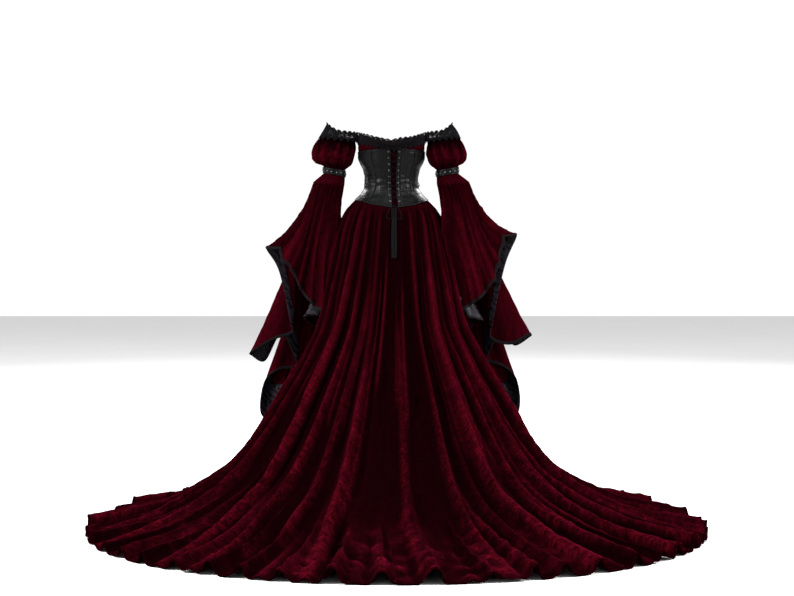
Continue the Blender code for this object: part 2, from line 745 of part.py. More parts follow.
def normal_at(angle, height, turn=1.0, step=0.004):
    """Outward direction of the velvet's surface at a point."""
    along = body_point(angle + turn, height) - body_point(angle - turn, height)
    down = body_point(angle, height - step) - body_point(angle, height + step)
    way = np.cross(down, along)
    return way / np.linalg.norm(way)


def on_facets(angle, height):
    """A point on the straight runs between the corset's rows."""
    top = float(edge_height(CORSET_UPPER_EDGE, angle))
    low = float(edge_height(CORSET_LOWER_EDGE, angle))
    heights = [top + (low - top) * share for share in CORSET_ROWS]
    above = min(h for h in heights if h >= height)
    under = max(h for h in heights if h < above)
    part = (above - height) / (above - under)
    return body_point(angle, above) * (1 - part) + body_point(angle, under) * part


def lacing_point(share, height, out):
    """A point over the laced gap; share runs from one eyelet row (-1) to the other (1)."""
    angle = share * float(gap_angle(PLACKET_WIDTH / 2, height))
    return on_facets(angle, height) + normal_at(angle, height) * out


def make_lacing(cord):
    """Two cords that cross between the plackets; the second one passes over the first."""
    top, low = LACING_HEIGHTS
    drop = (top - low) / (LACING_STEPS - 1)
    out = CORSET_CLEARANCE[1] + PLACKET_LEATHER + LACING_CLEARANCE + LACE_CORD / 2
    for name, start, lift in (("lacing_under", 1, 0.0), ("lacing_over", -1, LACE_CORD + SEAM_GAP)):
        points = []
        for k in range(LACING_STEPS):
            side = start if k % 2 == 0 else -start
            points.append(lacing_point(side, top - drop * k, out))
            if k < LACING_STEPS - 1:
                begin = top - drop * (k + LACING_RISE)
                end = top - drop * (k + 1 - LACING_RISE)
                points.append(lacing_point(side * LACING_BEND, begin, out + lift))
                points.append(lacing_point(-side * LACING_BEND, end, out + lift))
        tube(name, points, LACE_CORD, cord)


def behind(x, height, out):
    """A point behind the skirt or the corset near the centre back."""
    wide = float(through(BODY_SECTIONS, height, 1))
    angle = math.degrees(math.asin(x / wide)) - float(through(BACK_TURN, height))
    fold = skirt_fold(np.array([angle]), np.array([height]))[0]
    return body_point(angle, height, fold) - np.array([0.0, out, 0.0])


def make_knot(cord):
    ball = bmesh.new()
    bmesh.ops.create_icosphere(ball, subdivisions=2, radius=1.0)
    bmesh.ops.scale(ball, vec=KNOT_HALF_SIZE, verts=ball.verts)
    bmesh.ops.translate(ball, vec=behind(BOW_CENTRE, KNOT_HEIGHT, KNOT_OUT), verts=ball.verts)
    mesh = bpy.data.meshes.new("bow_knot")
    ball.to_mesh(mesh)
    ball.free()
    mesh.materials.append(cord)
    mesh.shade_smooth()
    place("bow_knot", mesh)


def make_loops(cord):
    """A drop-shaped loop of cord on each side of the knot."""
    for side_name, side in (("r", 1), ("l", -1)):
        points = []
        for k in range(LOOP_STEPS + 1):
            share = k / LOOP_STEPS
            swell = math.sin(2 * math.pi * share) * LOOP_WIDTH / 2
            apart = LOOP_ENDS_APART * math.cos(math.pi * share)
            middle = LOOP_START + LOOP_LEAN * math.sin(math.pi * share)
            x = BOW_CENTRE + side * (middle + swell + apart)
            height = KNOT_HEIGHT - LOOP_LENGTH * math.sin(math.pi * share)
            points.append(behind(x, height, LOOP_OUT))
        tube(f"bow_loop_{side_name}", points, LACE_CORD, cord)


def make_lace_ends(tape):
    """Two flat lace ends that hang side by side from under the knot."""
    for side_name, side in (("r", 1), ("l", -1)):
        outer, inner = [], []
        middle = BOW_CENTRE + side * (TAPE_WIDTH + TAPE_GAP) / 2
        for k in range(TAPE_STEPS + 1):
            height = TAPE_TOP - TAPE_LENGTH * k / TAPE_STEPS
            far = TAPE_OUT + TAPE_THICKNESS
            edges = (middle - TAPE_WIDTH / 2, middle + TAPE_WIDTH / 2)
            back = max(-behind(x, height, far)[1] for x in (*edges, middle))
            drop = height - WAIST_HEIGHT
            outer.append(np.array([(x, -back, drop) for x in edges]))
            inner.append(np.array([(x, -back + TAPE_THICKNESS, drop) for x in edges]))
        faces = grid_faces(outer, False)
        solid(f"lace_end_{side_name}", np.concatenate(outer), np.concatenate(inner), faces, tape)


def main():
    clear_scene()
    gown = bpy.data.objects.new("gown", None)
    bpy.context.scene.collection.objects.link(gown)
    looks = {name: material(name, colour, roughness) for name, colour, roughness in LOOKS}
    velvet = looks["velvet_burgundy"]
    leather = looks["leather_black"]
    lace = looks["lace_black"]
    cord = looks["cord_black"]
    make_skirt(velvet)
    make_bodice(velvet)
    make_corset(leather, looks["leather_placket"])
    make_neck_lace(lace)
    make_sleeve_lace(lace)
    make_puffs(velvet)
    make_bands(leather)
    make_bells(velvet, looks["lining_brocade"], looks["braid_black"])
    make_lacing(cord)
    make_knot(cord)
    make_loops(cord)
    make_lace_ends(looks["tape_black"])


main()
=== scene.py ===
"""Looks of the velvet gown: fine cloth shells, leather, cut lace, lacing and trims.

All positions are in metres in the frame of the solids: +Y is the way the wearer faces, +X the
wearer's right, +Z up, and the origin the centre of the waist. Tables give heights above the floor.
"""

import math

import bpy
import numpy as np
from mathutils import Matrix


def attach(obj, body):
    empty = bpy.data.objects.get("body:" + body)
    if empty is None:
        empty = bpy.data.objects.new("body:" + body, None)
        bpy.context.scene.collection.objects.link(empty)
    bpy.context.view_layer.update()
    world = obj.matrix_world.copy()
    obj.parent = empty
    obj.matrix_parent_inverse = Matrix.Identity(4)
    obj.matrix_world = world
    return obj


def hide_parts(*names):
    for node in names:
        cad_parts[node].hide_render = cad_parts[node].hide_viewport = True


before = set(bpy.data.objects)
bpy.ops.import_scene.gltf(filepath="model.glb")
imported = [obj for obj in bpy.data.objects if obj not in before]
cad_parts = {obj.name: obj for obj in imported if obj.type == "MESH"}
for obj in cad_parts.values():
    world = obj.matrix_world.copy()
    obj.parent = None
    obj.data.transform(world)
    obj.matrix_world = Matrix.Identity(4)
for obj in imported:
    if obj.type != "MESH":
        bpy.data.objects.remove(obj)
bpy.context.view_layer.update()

# Camera and floor

CAMERA_PLACE = (0.020, -7.0, -0.147)
CAMERA_DOWN = 2.2
CAMERA_LENS = 89.4
FLOOR_HALF = 14.0
WORLD_STRENGTH = 1.03

# Name, place, the point it shines at, power and width
LIGHTS = (
    ("key", (-4.6, -2.6, 2.6), (0, -0.4, -0.4), 900.0, 2.2),
    ("fill", (4.6, -2.4, 2.2), (0, -0.4, -0.3), 640.0, 2.2),
    ("top", (0.3, -3.0, 4.2), (0, -0.6, -0.6), 160.0, 1.6),
    ("front_key", (3.4, 4.4, 2.6), (0, 0.0, -0.4), 420.0, 1.6),
    ("front_fill", (-3.6, 4.2, 2.2), (0, 0.0, -0.4), 300.0, 1.6),
)

# Sizes shared with the solids

WAIST_HEIGHT = 1.147
SEAM_GAP = 0.0003
VELVET = 0.0020
BODICE_VELVET = 0.0015
SLEEVE_VELVET = 0.0015
LINING = 0.0010
LEATHER = 0.0022
PLACKET_LEATHER = 0.0028
LACE = 0.0010
BRAID = 0.0010
CORSET_CLEARANCE = (0.0008, 0.0018)
BACK_TURN = ((0.0, 0.0), (0.50, 1.5), (0.90, 4.2), (1.05, 5.2), (1.30, 4.0))
TRAIN_SHIFT = ((0.0, 0.020), (0.05, 0.010), (0.12, -0.004), (0.40, -0.004), (1.00, 0.0))
FLOOR_CLEARANCE = 0.0030
BODY_FLATNESS = 1.25

# Velvet outer surface: height, half width, reach to the front, to the back, and how far back
# the widest place is
BODY_SECTIONS = (
    (1.340, 0.1150, 0.100, 0.098, 0.000),
    (1.300, 0.1150, 0.108, 0.098, 0.000),
    (1.262, 0.1158, 0.124, 0.096, 0.000),
    (1.228, 0.1155, 0.120, 0.092, 0.000),
    (1.207, 0.1085, 0.108, 0.088, 0.000),
    (1.186, 0.0975, 0.095, 0.083, 0.000),
    (1.147, 0.0905, 0.082, 0.079, 0.000),
    (1.122, 0.0930, 0.084, 0.080, 0.000),
    (1.100, 0.1060, 0.091, 0.086, 0.000),
    (1.079, 0.1270, 0.100, 0.097, 0.002),
    (1.048, 0.1490, 0.111, 0.118, 0.005),
    (1.010, 0.1590, 0.120, 0.142, 0.010),
    (0.920, 0.1720, 0.134, 0.192, 0.025),
    (0.764, 0.2010, 0.156, 0.272, 0.055),
    (0.650, 0.2300, 0.172, 0.348, 0.085),
    (0.534, 0.2900, 0.192, 0.450, 0.135),
    (0.426, 0.3550, 0.215, 0.570, 0.190),
    (0.296, 0.4340, 0.246, 0.755, 0.280),
    (0.180, 0.5300, 0.282, 0.960, 0.380),
    (0.100, 0.6550, 0.315, 1.140, 0.455),
    (0.045, 0.8000, 0.352, 1.350, 0.540),
    (0.004, 1.0000, 0.390, 1.610, 0.610),
)
CORSET_LOWER_EDGE = (
    (0, 1.050), (30, 1.062), (60, 1.074), (90, 1.079), (135, 1.070), (165, 1.045), (180, 1.035),
)
CORSET_UPPER_EDGE = ((0, 1.257), (40, 1.254), (90, 1.248), (130, 1.232), (160, 1.216), (180, 1.208))
NECK_EDGE = ((0, 1.279), (25, 1.288), (60, 1.303), (90, 1.308), (130, 1.300), (160, 1.296), (180, 1.286))
SKIRT_KEEPS = ((0.0, 0.0), (0.740, 0.0), (0.930, 0.10), (1.035, 0.60), (1.083, 1.0))
SOLID_COLUMNS = 96
COLUMN_SWINGS = ((3, 1.6), (7, 1.0), (11, 0.5))
HEM_WAVES = 48
HEM_WAVE_HEIGHTS = ((0, 0.034), (90, 0.030), (180, 0.020))
HEM_WAVE_POWER = 1.5
HEM_WAVE_SPREAD = 0.25
HEM_WAVE_SPREAD_STEP = 2.3
HEM_WAVES_BEGIN = 0.20

# Folds of the skirt: angle from the centre back (plus is the wearer's right), width, share
SKIRT_FOLDS = (
    (-160, 8, 0.8), (-146, 7, 0.7), (-131, 8, 0.9), (-117, 7, 0.8), (-104, 7, 0.9),
    (-91, 6, 0.8), (-79, 6, 0.9), (-66, 6, 1.0), (-55, 5, 0.6), (-45, 5, 1.2),
    (-35, 5, 0.9), (-26, 4, 0.5), (-17, 5, 0.9), (-8, 4, 0.4), (7, 4, 0.4),
    (19, 5, 1.1), (28, 4, 0.5), (36, 6, 1.2), (47, 5, 0.6), (56, 6, 0.9),
    (66, 5, 0.6), (77, 6, 1.2), (90, 6, 0.8), (103, 7, 0.9), (117, 7, 0.8),
    (131, 8, 0.9), (146, 7, 0.7), (160, 8, 0.8), (180, 9, 0.6),
)
FOLD_GROWTH = (
    (0.0, 0.004), (0.05, 0.010), (0.18, 0.022), (0.40, 0.020), (0.65, 0.014), (0.90, 0.009),
    (1.08, 0.005),
)
FOLDS_BEGIN_OVER = 0.070
FOLD_MIDDLE = 0.45
SKIRT_GORES = (
    ("skirt_back_r", 0, 11),
    ("skirt_side_back_r", 11, 22),
    ("skirt_side_front_r", 22, 36),
    ("skirt_front", 36, 60),
    ("skirt_side_front_l", 60, 74),
    ("skirt_side_back_l", 74, 85),
    ("skirt_back_l", 85, 96),
)

LACED_GAP = ((1.050, 0.0100), (1.147, 0.0085), (1.260, 0.0135))
PLACKET_WIDTH = 0.0115
LACING_STEPS = 9
LACE_CORD = 0.0024
LACING_HEIGHTS = (1.247, 1.072)
CORSET_PANELS = (
    ("corset_side_back", 40, 86),
    ("corset_side_front", 86, 138),
)

# Rings round an arm: height, inner and outer edge from the body's centre on the wearer's left,
# the same on the right, half depth, and how much higher the outer side is than the inner
SLEEVE_LACE_SECTIONS = (
    (1.3140, 0.1181, 0.2290, 0.1181, 0.2160, 0.0500, 0.010),
    (1.3030, 0.1181, 0.2420, 0.1181, 0.2330, 0.0560, 0.014),
    (1.2860, 0.1186, 0.2600, 0.1186, 0.2469, 0.0615, 0.014),
)
SLEEVE_LACE_RISES = (0.026, 0.012, 0.0)
PUFF_SECTIONS = (
    (1.3000, 0.1220, 0.2400, 0.1220, 0.2300, 0.0540, 0.014),
    (1.2780, 0.1220, 0.2700, 0.1220, 0.2550, 0.0640, 0.012),
    (1.2360, 0.1330, 0.2800, 0.1270, 0.2640, 0.0710, 0.003),
    (1.2080, 0.1430, 0.2680, 0.1390, 0.2560, 0.0620, 0.006),
    (1.1900, 0.1640, 0.2400, 0.1600, 0.2370, 0.0360, 0.014),
    (1.1665, 0.1640, 0.2400, 0.1600, 0.2370, 0.0360, 0.014),
)
BAND_SECTION = (1.1780, 0.1640, 0.2400, 0.1600, 0.2370, 0.0360, 0.014)
BAND_HEIGHT = 0.0225
BAND_CLEARANCE = 0.0009
BELL_TOP = (1.1661, 0.1640, 0.2400, 0.1600, 0.2370, 0.0360, 0.014)
BELL_SHOULDER = (1.1380, 0.1680, 0.2740, 0.1630, 0.2740, 0.0520, 0.010)

# Hem of a bell sleeve: angle at the arm, depth (plus is the front), distance from the body's
# centre and height on the wearer's left, and the same two on the right
BELL_HEM = (
    (2, -0.062, 0.441, 0.905, 0.441, 0.950),
    (40, -0.088, 0.388, 0.838, 0.405, 0.838),
    (92, -0.098, 0.312, 0.748, 0.330, 0.745),
    (128, -0.088, 0.256, 0.686, 0.270, 0.695),
    (142, -0.068, 0.254, 0.676, 0.268, 0.684),
    (158, -0.052, 0.292, 0.668, 0.310, 0.660),
    (170, -0.036, 0.290, 0.660, 0.308, 0.652),
    (184, 0.010, 0.262, 0.640, 0.264, 0.636),
    (204, 0.088, 0.236, 0.580, 0.238, 0.576),
    (236, 0.110, 0.360, 0.330, 0.355, 0.340),
    (258, 0.146, 0.425, 0.285, 0.420, 0.290),
    (274, 0.140, 0.472, 0.300, 0.460, 0.308),
    (283, 0.119, 0.474, 0.368, 0.465, 0.376),
    (290, 0.101, 0.452, 0.432, 0.446, 0.440),
    (297, 0.085, 0.402, 0.470, 0.400, 0.482),
    (304, 0.070, 0.345, 0.478, 0.345, 0.500),
    (310, 0.054, 0.348, 0.520, 0.350, 0.530),
    (316, 0.044, 0.395, 0.598, 0.392, 0.600),
    (322, 0.034, 0.452, 0.505, 0.442, 0.560),
    (328, 0.026, 0.500, 0.525, 0.493, 0.590),
    (334, 0.010, 0.496, 0.536, 0.489, 0.596),
    (340, 0.002, 0.425, 0.580, 0.425, 0.565),
    (346, -0.008, 0.356, 0.605, 0.356, 0.585),
    (350, -0.020, 0.358, 0.640, 0.358, 0.640),
    (354, -0.028, 0.398, 0.820, 0.402, 0.840),
    (358, -0.042, 0.436, 0.898, 0.438, 0.940),
)
BELL_FOLDS = 9
PLEATS_FROM = 270
BELL_FOLD_DEPTH = 0.005
BELL_FOLD_START = 0.4
BELL_PLEAT_POWER = 1.9
BELL_SMOOTHING = 3.0
BELL_HANG = 0.014
BELL_HANG_ANGLE = 205
TRIM_WIDTH = 0.011
TRIM_LIFT = 0.0009

BOW_CENTRE = 0.0100
KNOT_HEIGHT = 1.055
KNOT_OUT = 0.0093
LOOP_START = 0.0105
LOOP_LEAN = 0.0080
LOOP_WIDTH = 0.016
LOOP_LENGTH = 0.045
LOOP_OUT = 0.0093
LOOP_ENDS_APART = 0.0018
TAPE_TOP = 1.0487
TAPE_WIDTH = 0.009
TAPE_GAP = 0.0008
TAPE_THICKNESS = 0.001
TAPE_LENGTH = 0.172
TAPE_OUT = 0.0058

SIDES = (("r", 1), ("l", -1))

# Fine detail

# Folds and fullness of the fine skirt, by height
MAIN_FOLD_SIZE = (
    (0.0, 0.004), (0.045, 0.025), (0.10, 0.042), (0.25, 0.038), (0.50, 0.026), (0.80, 0.016),
    (1.08, 0.005),
)
SMALL_FOLD_SIZE = (
    (0.0, 0.002), (0.045, 0.011), (0.15, 0.018), (0.50, 0.013), (0.80, 0.009), (1.08, 0.003),
)
FULL_HEIGHTS = (
    (0.0, 0.0), (0.45, 0.0), (0.62, 0.45), (0.80, 1.0), (0.94, 1.0), (1.03, 0.45), (1.07, 0.0),
)
FULL_LEFT = 0.026
FULL_RIGHT = 0.020
FULL_ANGLE = 80
FULL_SPREAD = 42.0
SKIRT_SEAM_GAP = 0.0001
HEM_ARCH_POWER = 3.6

# Inner back corner of each sleeve's hem: how far inward and back it is moved
BELL_NEAR_RIGHT = (0.050, 0.038)
BELL_NEAR_LEFT = (0.036, 0.034)
BELL_NEAR_ANGLE = 144
BELL_NEAR_SPREAD = 32
BELL_CREASES = 24
BELL_CREASED_TO = 280
LINING_FROM = 0.86
FRONT_PANEL = (138.0, 222.0)
LACE_DEPTH = 0.034
NECK_LACE_ROUND = 0.684
SLEEVE_LACE_ROUND = 0.40
STITCH_GAP = 0.0011
STITCH_WIDTH = 0.0007
DOME_AROUND = 10
DOME_RINGS = 3
EYELET_AROUND = 20
WIRE_AROUND = 8
TIE_ANGLE = 78.0
TIE_HEIGHT = 1.132
TIE_CORD = 0.0019
SKIRT_FINE = 10
SKIRT_FINE_ROWS = 72
SMALL_FOLDS = 100
BELL_FINE = 12
BELL_FINE_ROWS = 46
PUFF_FINE_COLUMNS = 256
PUFF_FINE_ROWS = 36
LACE_CELL_BACK = 0.00105
LACE_CELL_FRONT = 0.0014
NECK_SCALLOPS = 36
SLEEVE_SCALLOPS = 18
EYELET_RADIUS = 0.0026
EYELET_WIRE = 0.0008
STUD_SPACING = 0.018
STUD_RADIUS = 0.0027
BACK_SEAM_SHARE = {"r": 0.55, "l": 0.45}
CRUSHED_BELOW = -0.98
CRUSHED_FROM = -0.45


# Small helpers


def through(table, at, column=1):
    rows = sorted(table)
    xs = np.array([row[0] for row in rows], float)
    ys = np.array([row[column] for row in rows], float)
    slopes = np.diff(ys) / np.diff(xs)
    before, after = slopes[:-1], slopes[1:]
    even = before * after > 0
    total = np.where(even, before + after, 1.0)
    inner = np.where(even, 2 * before * after / total, 0.0)
    tangents = np.concatenate(([slopes[0]], inner, [slopes[-1]]))
    at = np.clip(np.asarray(at, float), xs[0], xs[-1])
    k = np.clip(np.searchsorted(xs, at, side="right") - 1, 0, len(xs) - 2)
    step = xs[k + 1] - xs[k]
    t = (at - xs[k]) / step
    return (
        ys[k] * (1 + 2 * t) * (1 - t) ** 2
        + tangents[k] * step * t * (1 - t) ** 2
        + ys[k + 1] * t * t * (3 - 2 * t)
        + tangents[k + 1] * step * t * t * (t - 1)
    )


def smooth(x):
    x = np.clip(x, 0, 1)
    return x * x * (3 - 2 * x)


def turned(angle):
    """The same angle between -180 and 180 degrees."""
    return (angle + 180) % 360 - 180


def edge_height(edge, angle):
    return through(edge, np.abs(turned(np.asarray(angle, float))))


def body_point(angle, height, out=0.0):
    angle = np.asarray(angle, float)
    height = np.asarray(height, float)
    turn = np.radians(angle - 90 + through(BACK_TURN, height))
    half = through(BODY_SECTIONS, height, 1) + out
    front = through(BODY_SECTIONS, height, 2) + out
    back = through(BODY_SECTIONS, height, 3) + out
    centre = -through(BODY_SECTIONS, height, 4)
    reach = np.where(np.sin(turn) > 0, front - centre, back + centre)
    x = half * np.cos(turn) + through(TRAIN_SHIFT, height)
    y = centre + reach * np.sin(turn)
    return np.stack(np.broadcast_arrays(x, y, height - WAIST_HEIGHT), axis=-1)


def radial(points):
    way = points * np.array([1.0, BODY_FLATNESS, 0.0])
    return way / np.linalg.norm(way, axis=-1, keepdims=True)


def unit(v):
    return v / np.maximum(np.linalg.norm(v, axis=-1, keepdims=True), 1e-12)


def waves(x, y, seed, shortest, longest, count=14):
    """Smooth uneven ripples of height about 1, as a sum of waves in seeded directions."""
    rng = np.random.default_rng(seed)
    total = np.zeros(np.broadcast(x, y).shape)
    for _ in range(count):
        turn, start = rng.uniform(0, 2 * np.pi, 2)
        length = rng.uniform(shortest, longest)
        total += np.cos(2 * np.pi * (x * np.cos(turn) + y * np.sin(turn)) / length + start)
    return total / math.sqrt(count / 2)


def grid_normals(points, wrap, flip=False):
    """Outward directions of a grid whose rows run down and whose columns run round."""
    down = np.gradient(points, axis=0)
    if wrap:
        along = (np.roll(points, -1, axis=1) - np.roll(points, 1, axis=1)) / 2
    else:
        along = np.gradient(points, axis=1)
    return unit(np.cross(down, along)) * (-1 if flip else 1)


def grid_quads(rows, columns, wrap, keep=None):
    numbers = np.arange(rows * columns).reshape(rows, columns)
    if wrap:
        right = np.roll(numbers, -1, axis=1)
        left = numbers
    else:
        left, right = numbers[:, :-1], numbers[:, 1:]
    quads = np.stack([left[:-1], left[1:], right[1:], right[:-1]], axis=-1)
    if keep is not None:
        return quads[keep]
    return quads.reshape(-1, 4)


def open_edges(quads, count):
    ends = np.concatenate([quads[:, [k, (k + 1) % 4]] for k in range(4)])
    forward = ends[:, 0].astype(np.int64) * count + ends[:, 1]
    backward = ends[:, 1].astype(np.int64) * count + ends[:, 0]
    return ends[~np.isin(forward, backward)]


def quick_mesh(name, points, quads, look):
    """A smooth mesh from arrays; points that no face uses are left out."""
    used, renumbered = np.unique(quads, return_inverse=True)
    points = points[used]
    quads = renumbered.reshape(quads.shape)
    sides = quads.shape[1]
    mesh = bpy.data.meshes.new(name)
    mesh.vertices.add(len(points))
    mesh.vertices.foreach_set("co", points.astype(np.float32).ravel())
    mesh.loops.add(quads.size)
    mesh.loops.foreach_set("vertex_index", quads.astype(np.int32).ravel())
    mesh.polygons.add(len(quads))
    mesh.polygons.foreach_set("loop_start", np.arange(0, quads.size, sides, dtype=np.int32))
    mesh.update(calc_edges=True)
    mesh.validate()
    mesh.materials.append(look)
    mesh.shade_smooth()
    return mesh


def piece(name, data, nodes=()):
    made = bpy.data.objects.new(name, data)
    bpy.context.scene.collection.objects.link(made)
    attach(made, "root")
    if nodes:
        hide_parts(*nodes)
    return made


def shell(
    name, outer, inner, look, wrap=False, flip=False, keep=None, nodes=(), raised=None, within=None
):
    """A wall between two grids, closed at its edges; raised and within carry the painted light and shade of
    its outer and inner faces.
    """
    rows, columns = outer.shape[:2]
    count = rows * columns
    quads = grid_quads(rows, columns, wrap, keep)
    if flip:
        quads = quads[:, ::-1]
    edges = open_edges(quads, count)
    rim = np.stack([edges[:, 1], edges[:, 0], edges[:, 0] + count, edges[:, 1] + count], axis=1)
    every = np.concatenate([quads, quads[:, ::-1] + count, rim])
    points = np.concatenate([outer.reshape(-1, 3), inner.reshape(-1, 3)])
    mesh = quick_mesh(name, points, every, look)
    if raised is not None:
        # Painted light for the velvet: lighter on fold crests, darker in hollows, with its own values for the
        # inner face.
        layer = mesh.attributes.new("raised", "FLOAT", "POINT")
        both = np.concatenate([raised.ravel(), (raised if within is None else within).ravel()])
        layer.data.foreach_set("value", np.clip(both, 0, 1).astype(np.float32))
    return piece(name, mesh, nodes)


def lengths_along(points, axis):
    """Distance travelled along the rows or the columns of a grid."""
    steps = np.linalg.norm(np.diff(points, axis=axis), axis=-1)
    total = np.cumsum(steps, axis=axis)
    pad = np.zeros_like(np.take(total, [0], axis=axis))
    return np.concatenate([pad, total], axis=axis)


def grid_area(points, wrap):
    if wrap:
        points = np.concatenate([points, points[:, :1]], axis=1)
    a = points[1:, :-1] - points[:-1, :-1]
    b = points[:-1, 1:] - points[:-1, :-1]
    c = points[1:, :-1] - points[1:, 1:]
    d = points[:-1, 1:] - points[1:, 1:]
    one = np.linalg.norm(np.cross(a, b), axis=-1)
    two = np.linalg.norm(np.cross(c, d), axis=-1)
    return float((one + two).sum() / 2)


def declare_sheet(points, wrap):
    """Works out the flat cut of a cloth grid from its area, its longest column and its longest row; the
    result is neither returned nor stated.

    The width is the longest row, but at most twice the area over the length, so the width worked out for a
    strongly flared piece is less than its longest row.
    """
    loop = np.concatenate([points, points[:, :1]], axis=1) if wrap else points
    length = float(lengths_along(points, 0)[-1].max())
    area = grid_area(points, wrap)
    width = min(float(lengths_along(loop, 1)[:, -1].max()), area / (0.5 * length))
    area = min(area, width * length)


def tube(name, points, diameter, look, nodes=()):
    curve = bpy.data.curves.new(name, "CURVE")
    curve.dimensions = "3D"
    curve.bevel_depth = diameter / 2
    curve.bevel_resolution = 3
    curve.use_fill_caps = True
    line = curve.splines.new("POLY")
    line.points.add(len(points) - 1)
    for point, place_at in zip(line.points, points):
        point.co = (*[float(v) for v in place_at], 1.0)
    curve.materials.append(look)
    return piece(name, curve, nodes)


def catmull(a, b, c, d, t):
    """A point between b and c on the smooth curve through four points."""
    square = 2 * a - 5 * b + 4 * c - d
    cube = 3 * b - a - 3 * c + d
    return 0.5 * (2 * b + (c - a) * t + square * t**2 + cube * t**3)


def softened(points, steps):
    """A smooth curve through the points, by Catmull-Rom."""
    points = np.array(points, float)
    ends = np.concatenate([[2 * points[0] - points[1]], points, [2 * points[-1] - points[-2]]])
    made = []
    for k in range(1, len(ends) - 2):
        a, b, c, d = ends[k - 1 : k + 3]
        for s in range(steps):
            t = s / steps
            made.append(catmull(a, b, c, d, t))
    made.append(points[-1])
    return np.array(made)


# Materials


class Look:
    """A node material with a Principled shader, built up line by line."""

    def __init__(self, name, roughness, specular):
        self.material = bpy.data.materials.new(name)
        self.material.use_nodes = True
        self.tree = self.material.node_tree
        self.shader = self.tree.nodes["Principled BSDF"]
        self.shader.inputs["Roughness"].default_value = roughness
        self.shader.inputs["Specular IOR Level"].default_value = specular
        self.place = self.add("ShaderNodeTexCoord").outputs["Object"]

    def add(self, kind, **settings):
        node = self.tree.nodes.new(kind)
        for key, value in settings.items():
            setattr(node, key, value)
        return node

    def link(self, a, b):
        self.tree.links.new(a, b)

    def scaled(self, scale):
        node = self.add("ShaderNodeMapping")
        node.inputs["Scale"].default_value = scale
        self.link(self.place, node.inputs["Vector"])
        return node.outputs["Vector"]

    def noise(self, scale, detail=4.0, rough=0.6, place=None, distortion=0.0):
        node = self.add("ShaderNodeTexNoise")
        node.inputs["Scale"].default_value = scale
        node.inputs["Detail"].default_value = detail
        node.inputs["Roughness"].default_value = rough
        node.inputs["Distortion"].default_value = distortion
        self.link(place or self.place, node.inputs["Vector"])
        return node.outputs["Fac"]

    def voronoi(self, scale, feature="F1"):
        node = self.add("ShaderNodeTexVoronoi", feature=feature)
        node.inputs["Scale"].default_value = scale
        self.link(self.place, node.inputs["Vector"])
        return node.outputs["Distance"]

    def wave(self, scale, distortion):
        node = self.add("ShaderNodeTexWave", bands_direction="DIAGONAL")
        node.inputs["Scale"].default_value = scale
        node.inputs["Distortion"].default_value = distortion
        self.link(self.place, node.inputs["Vector"])
        return node.outputs["Fac"]

    def spread(self, value, low, high, to_low=0.0, to_high=1.0):
        node = self.add("ShaderNodeMapRange")
        node.interpolation_type = "SMOOTHSTEP"
        node.inputs["From Min"].default_value = low
        node.inputs["From Max"].default_value = high
        node.inputs["To Min"].default_value = to_low
        node.inputs["To Max"].default_value = to_high
        self.link(value, node.inputs["Value"])
        return node.outputs["Result"]

    def maths(self, operation, a, b):
        node = self.add("ShaderNodeMath", operation=operation)
        for socket, value in zip(node.inputs, (a, b)):
            if isinstance(value, (int, float)):
                socket.default_value = value
            else:
                self.link(value, socket)
        return node.outputs[0]

    def mix(self, factor, a, b):
        node = self.add("ShaderNodeMix", data_type="RGBA")
        self.link(factor, node.inputs["Factor"])
        for socket, colour in ((node.inputs["A"], a), (node.inputs["B"], b)):
            socket.default_value = (*colour, 1.0)
        return node.outputs["Result"]

    def colour(self, value):
        self.link(value, self.shader.inputs["Base Color"])

    def rough(self, value):
        self.link(value, self.shader.inputs["Roughness"])

    def bump(self, *layers):
        """Each layer is a height, a strength and a distance in metres; later ones lie on earlier ones."""
        below = None
        for height, strength, distance in layers:
            node = self.add("ShaderNodeBump")
            node.inputs["Strength"].default_value = strength
            node.inputs["Distance"].default_value = distance
            self.link(height, node.inputs["Height"])
            if below is not None:
                self.link(below, node.inputs["Normal"])
            below = node.outputs["Normal"]
        self.link(below, self.shader.inputs["Normal"])

    def sheen(self, weight, roughness, tint):
        self.shader.inputs["Sheen Weight"].default_value = weight
        self.shader.inputs["Sheen Roughness"].default_value = roughness
        self.shader.inputs["Sheen Tint"].default_value = (*tint, 1.0)


def velvet_look(name, dark, light, sheen_weight):
    """Crushed velvet: the nap is lighter in streaks and flecks, and the 'raised' attribute paints highlights
    on raised folds and shade in the hollows between them.
    """
    look = Look(name, 0.9, 0.0)
    streaks = look.noise(34.0, 4.0, 0.62, look.scaled((1.0, 1.0, 0.14)), 0.4)
    patches = look.noise(95.0, 5.0, 0.70, look.scaled((1.0, 1.0, 0.50)), 0.8)
    pile = look.noise(900.0, 2.0, 0.5)
    long_streaks = look.spread(streaks, 0.34, 0.66, 0.34, 1.15)
    spots = look.spread(patches, 0.36, 0.64, 0.16, 1.15)
    flecks = look.maths("MULTIPLY", long_streaks, spots)
    height = look.add("ShaderNodeSeparateXYZ")
    look.link(look.place, height.inputs[0])
    crush = look.spread(height.outputs["Z"], CRUSHED_BELOW, CRUSHED_FROM, 0.95, 0.42)
    smoothed = look.maths("MULTIPLY", look.maths("SUBTRACT", 1.0, crush), 0.62)
    crushed = look.maths("ADD", look.maths("MULTIPLY", flecks, crush), smoothed)
    # Painted light and shade, read from the mesh: lighter on fold crests, darker in valleys.
    raised = look.add("ShaderNodeAttribute", attribute_name="raised").outputs["Fac"]
    nap_and_painted_light = look.maths("MULTIPLY", crushed, raised)
    nap_and_painted_light = look.maths("MULTIPLY", nap_and_painted_light, look.spread(pile, 0.2, 0.8, 0.82, 1.0))
    look.colour(look.mix(nap_and_painted_light, dark, light))
    look.bump((patches, 0.45, 0.0016), (pile, 0.25, 0.0003))
    look.sheen(sheen_weight, 0.30, (1.0, 0.04, 0.12))
    return look.material


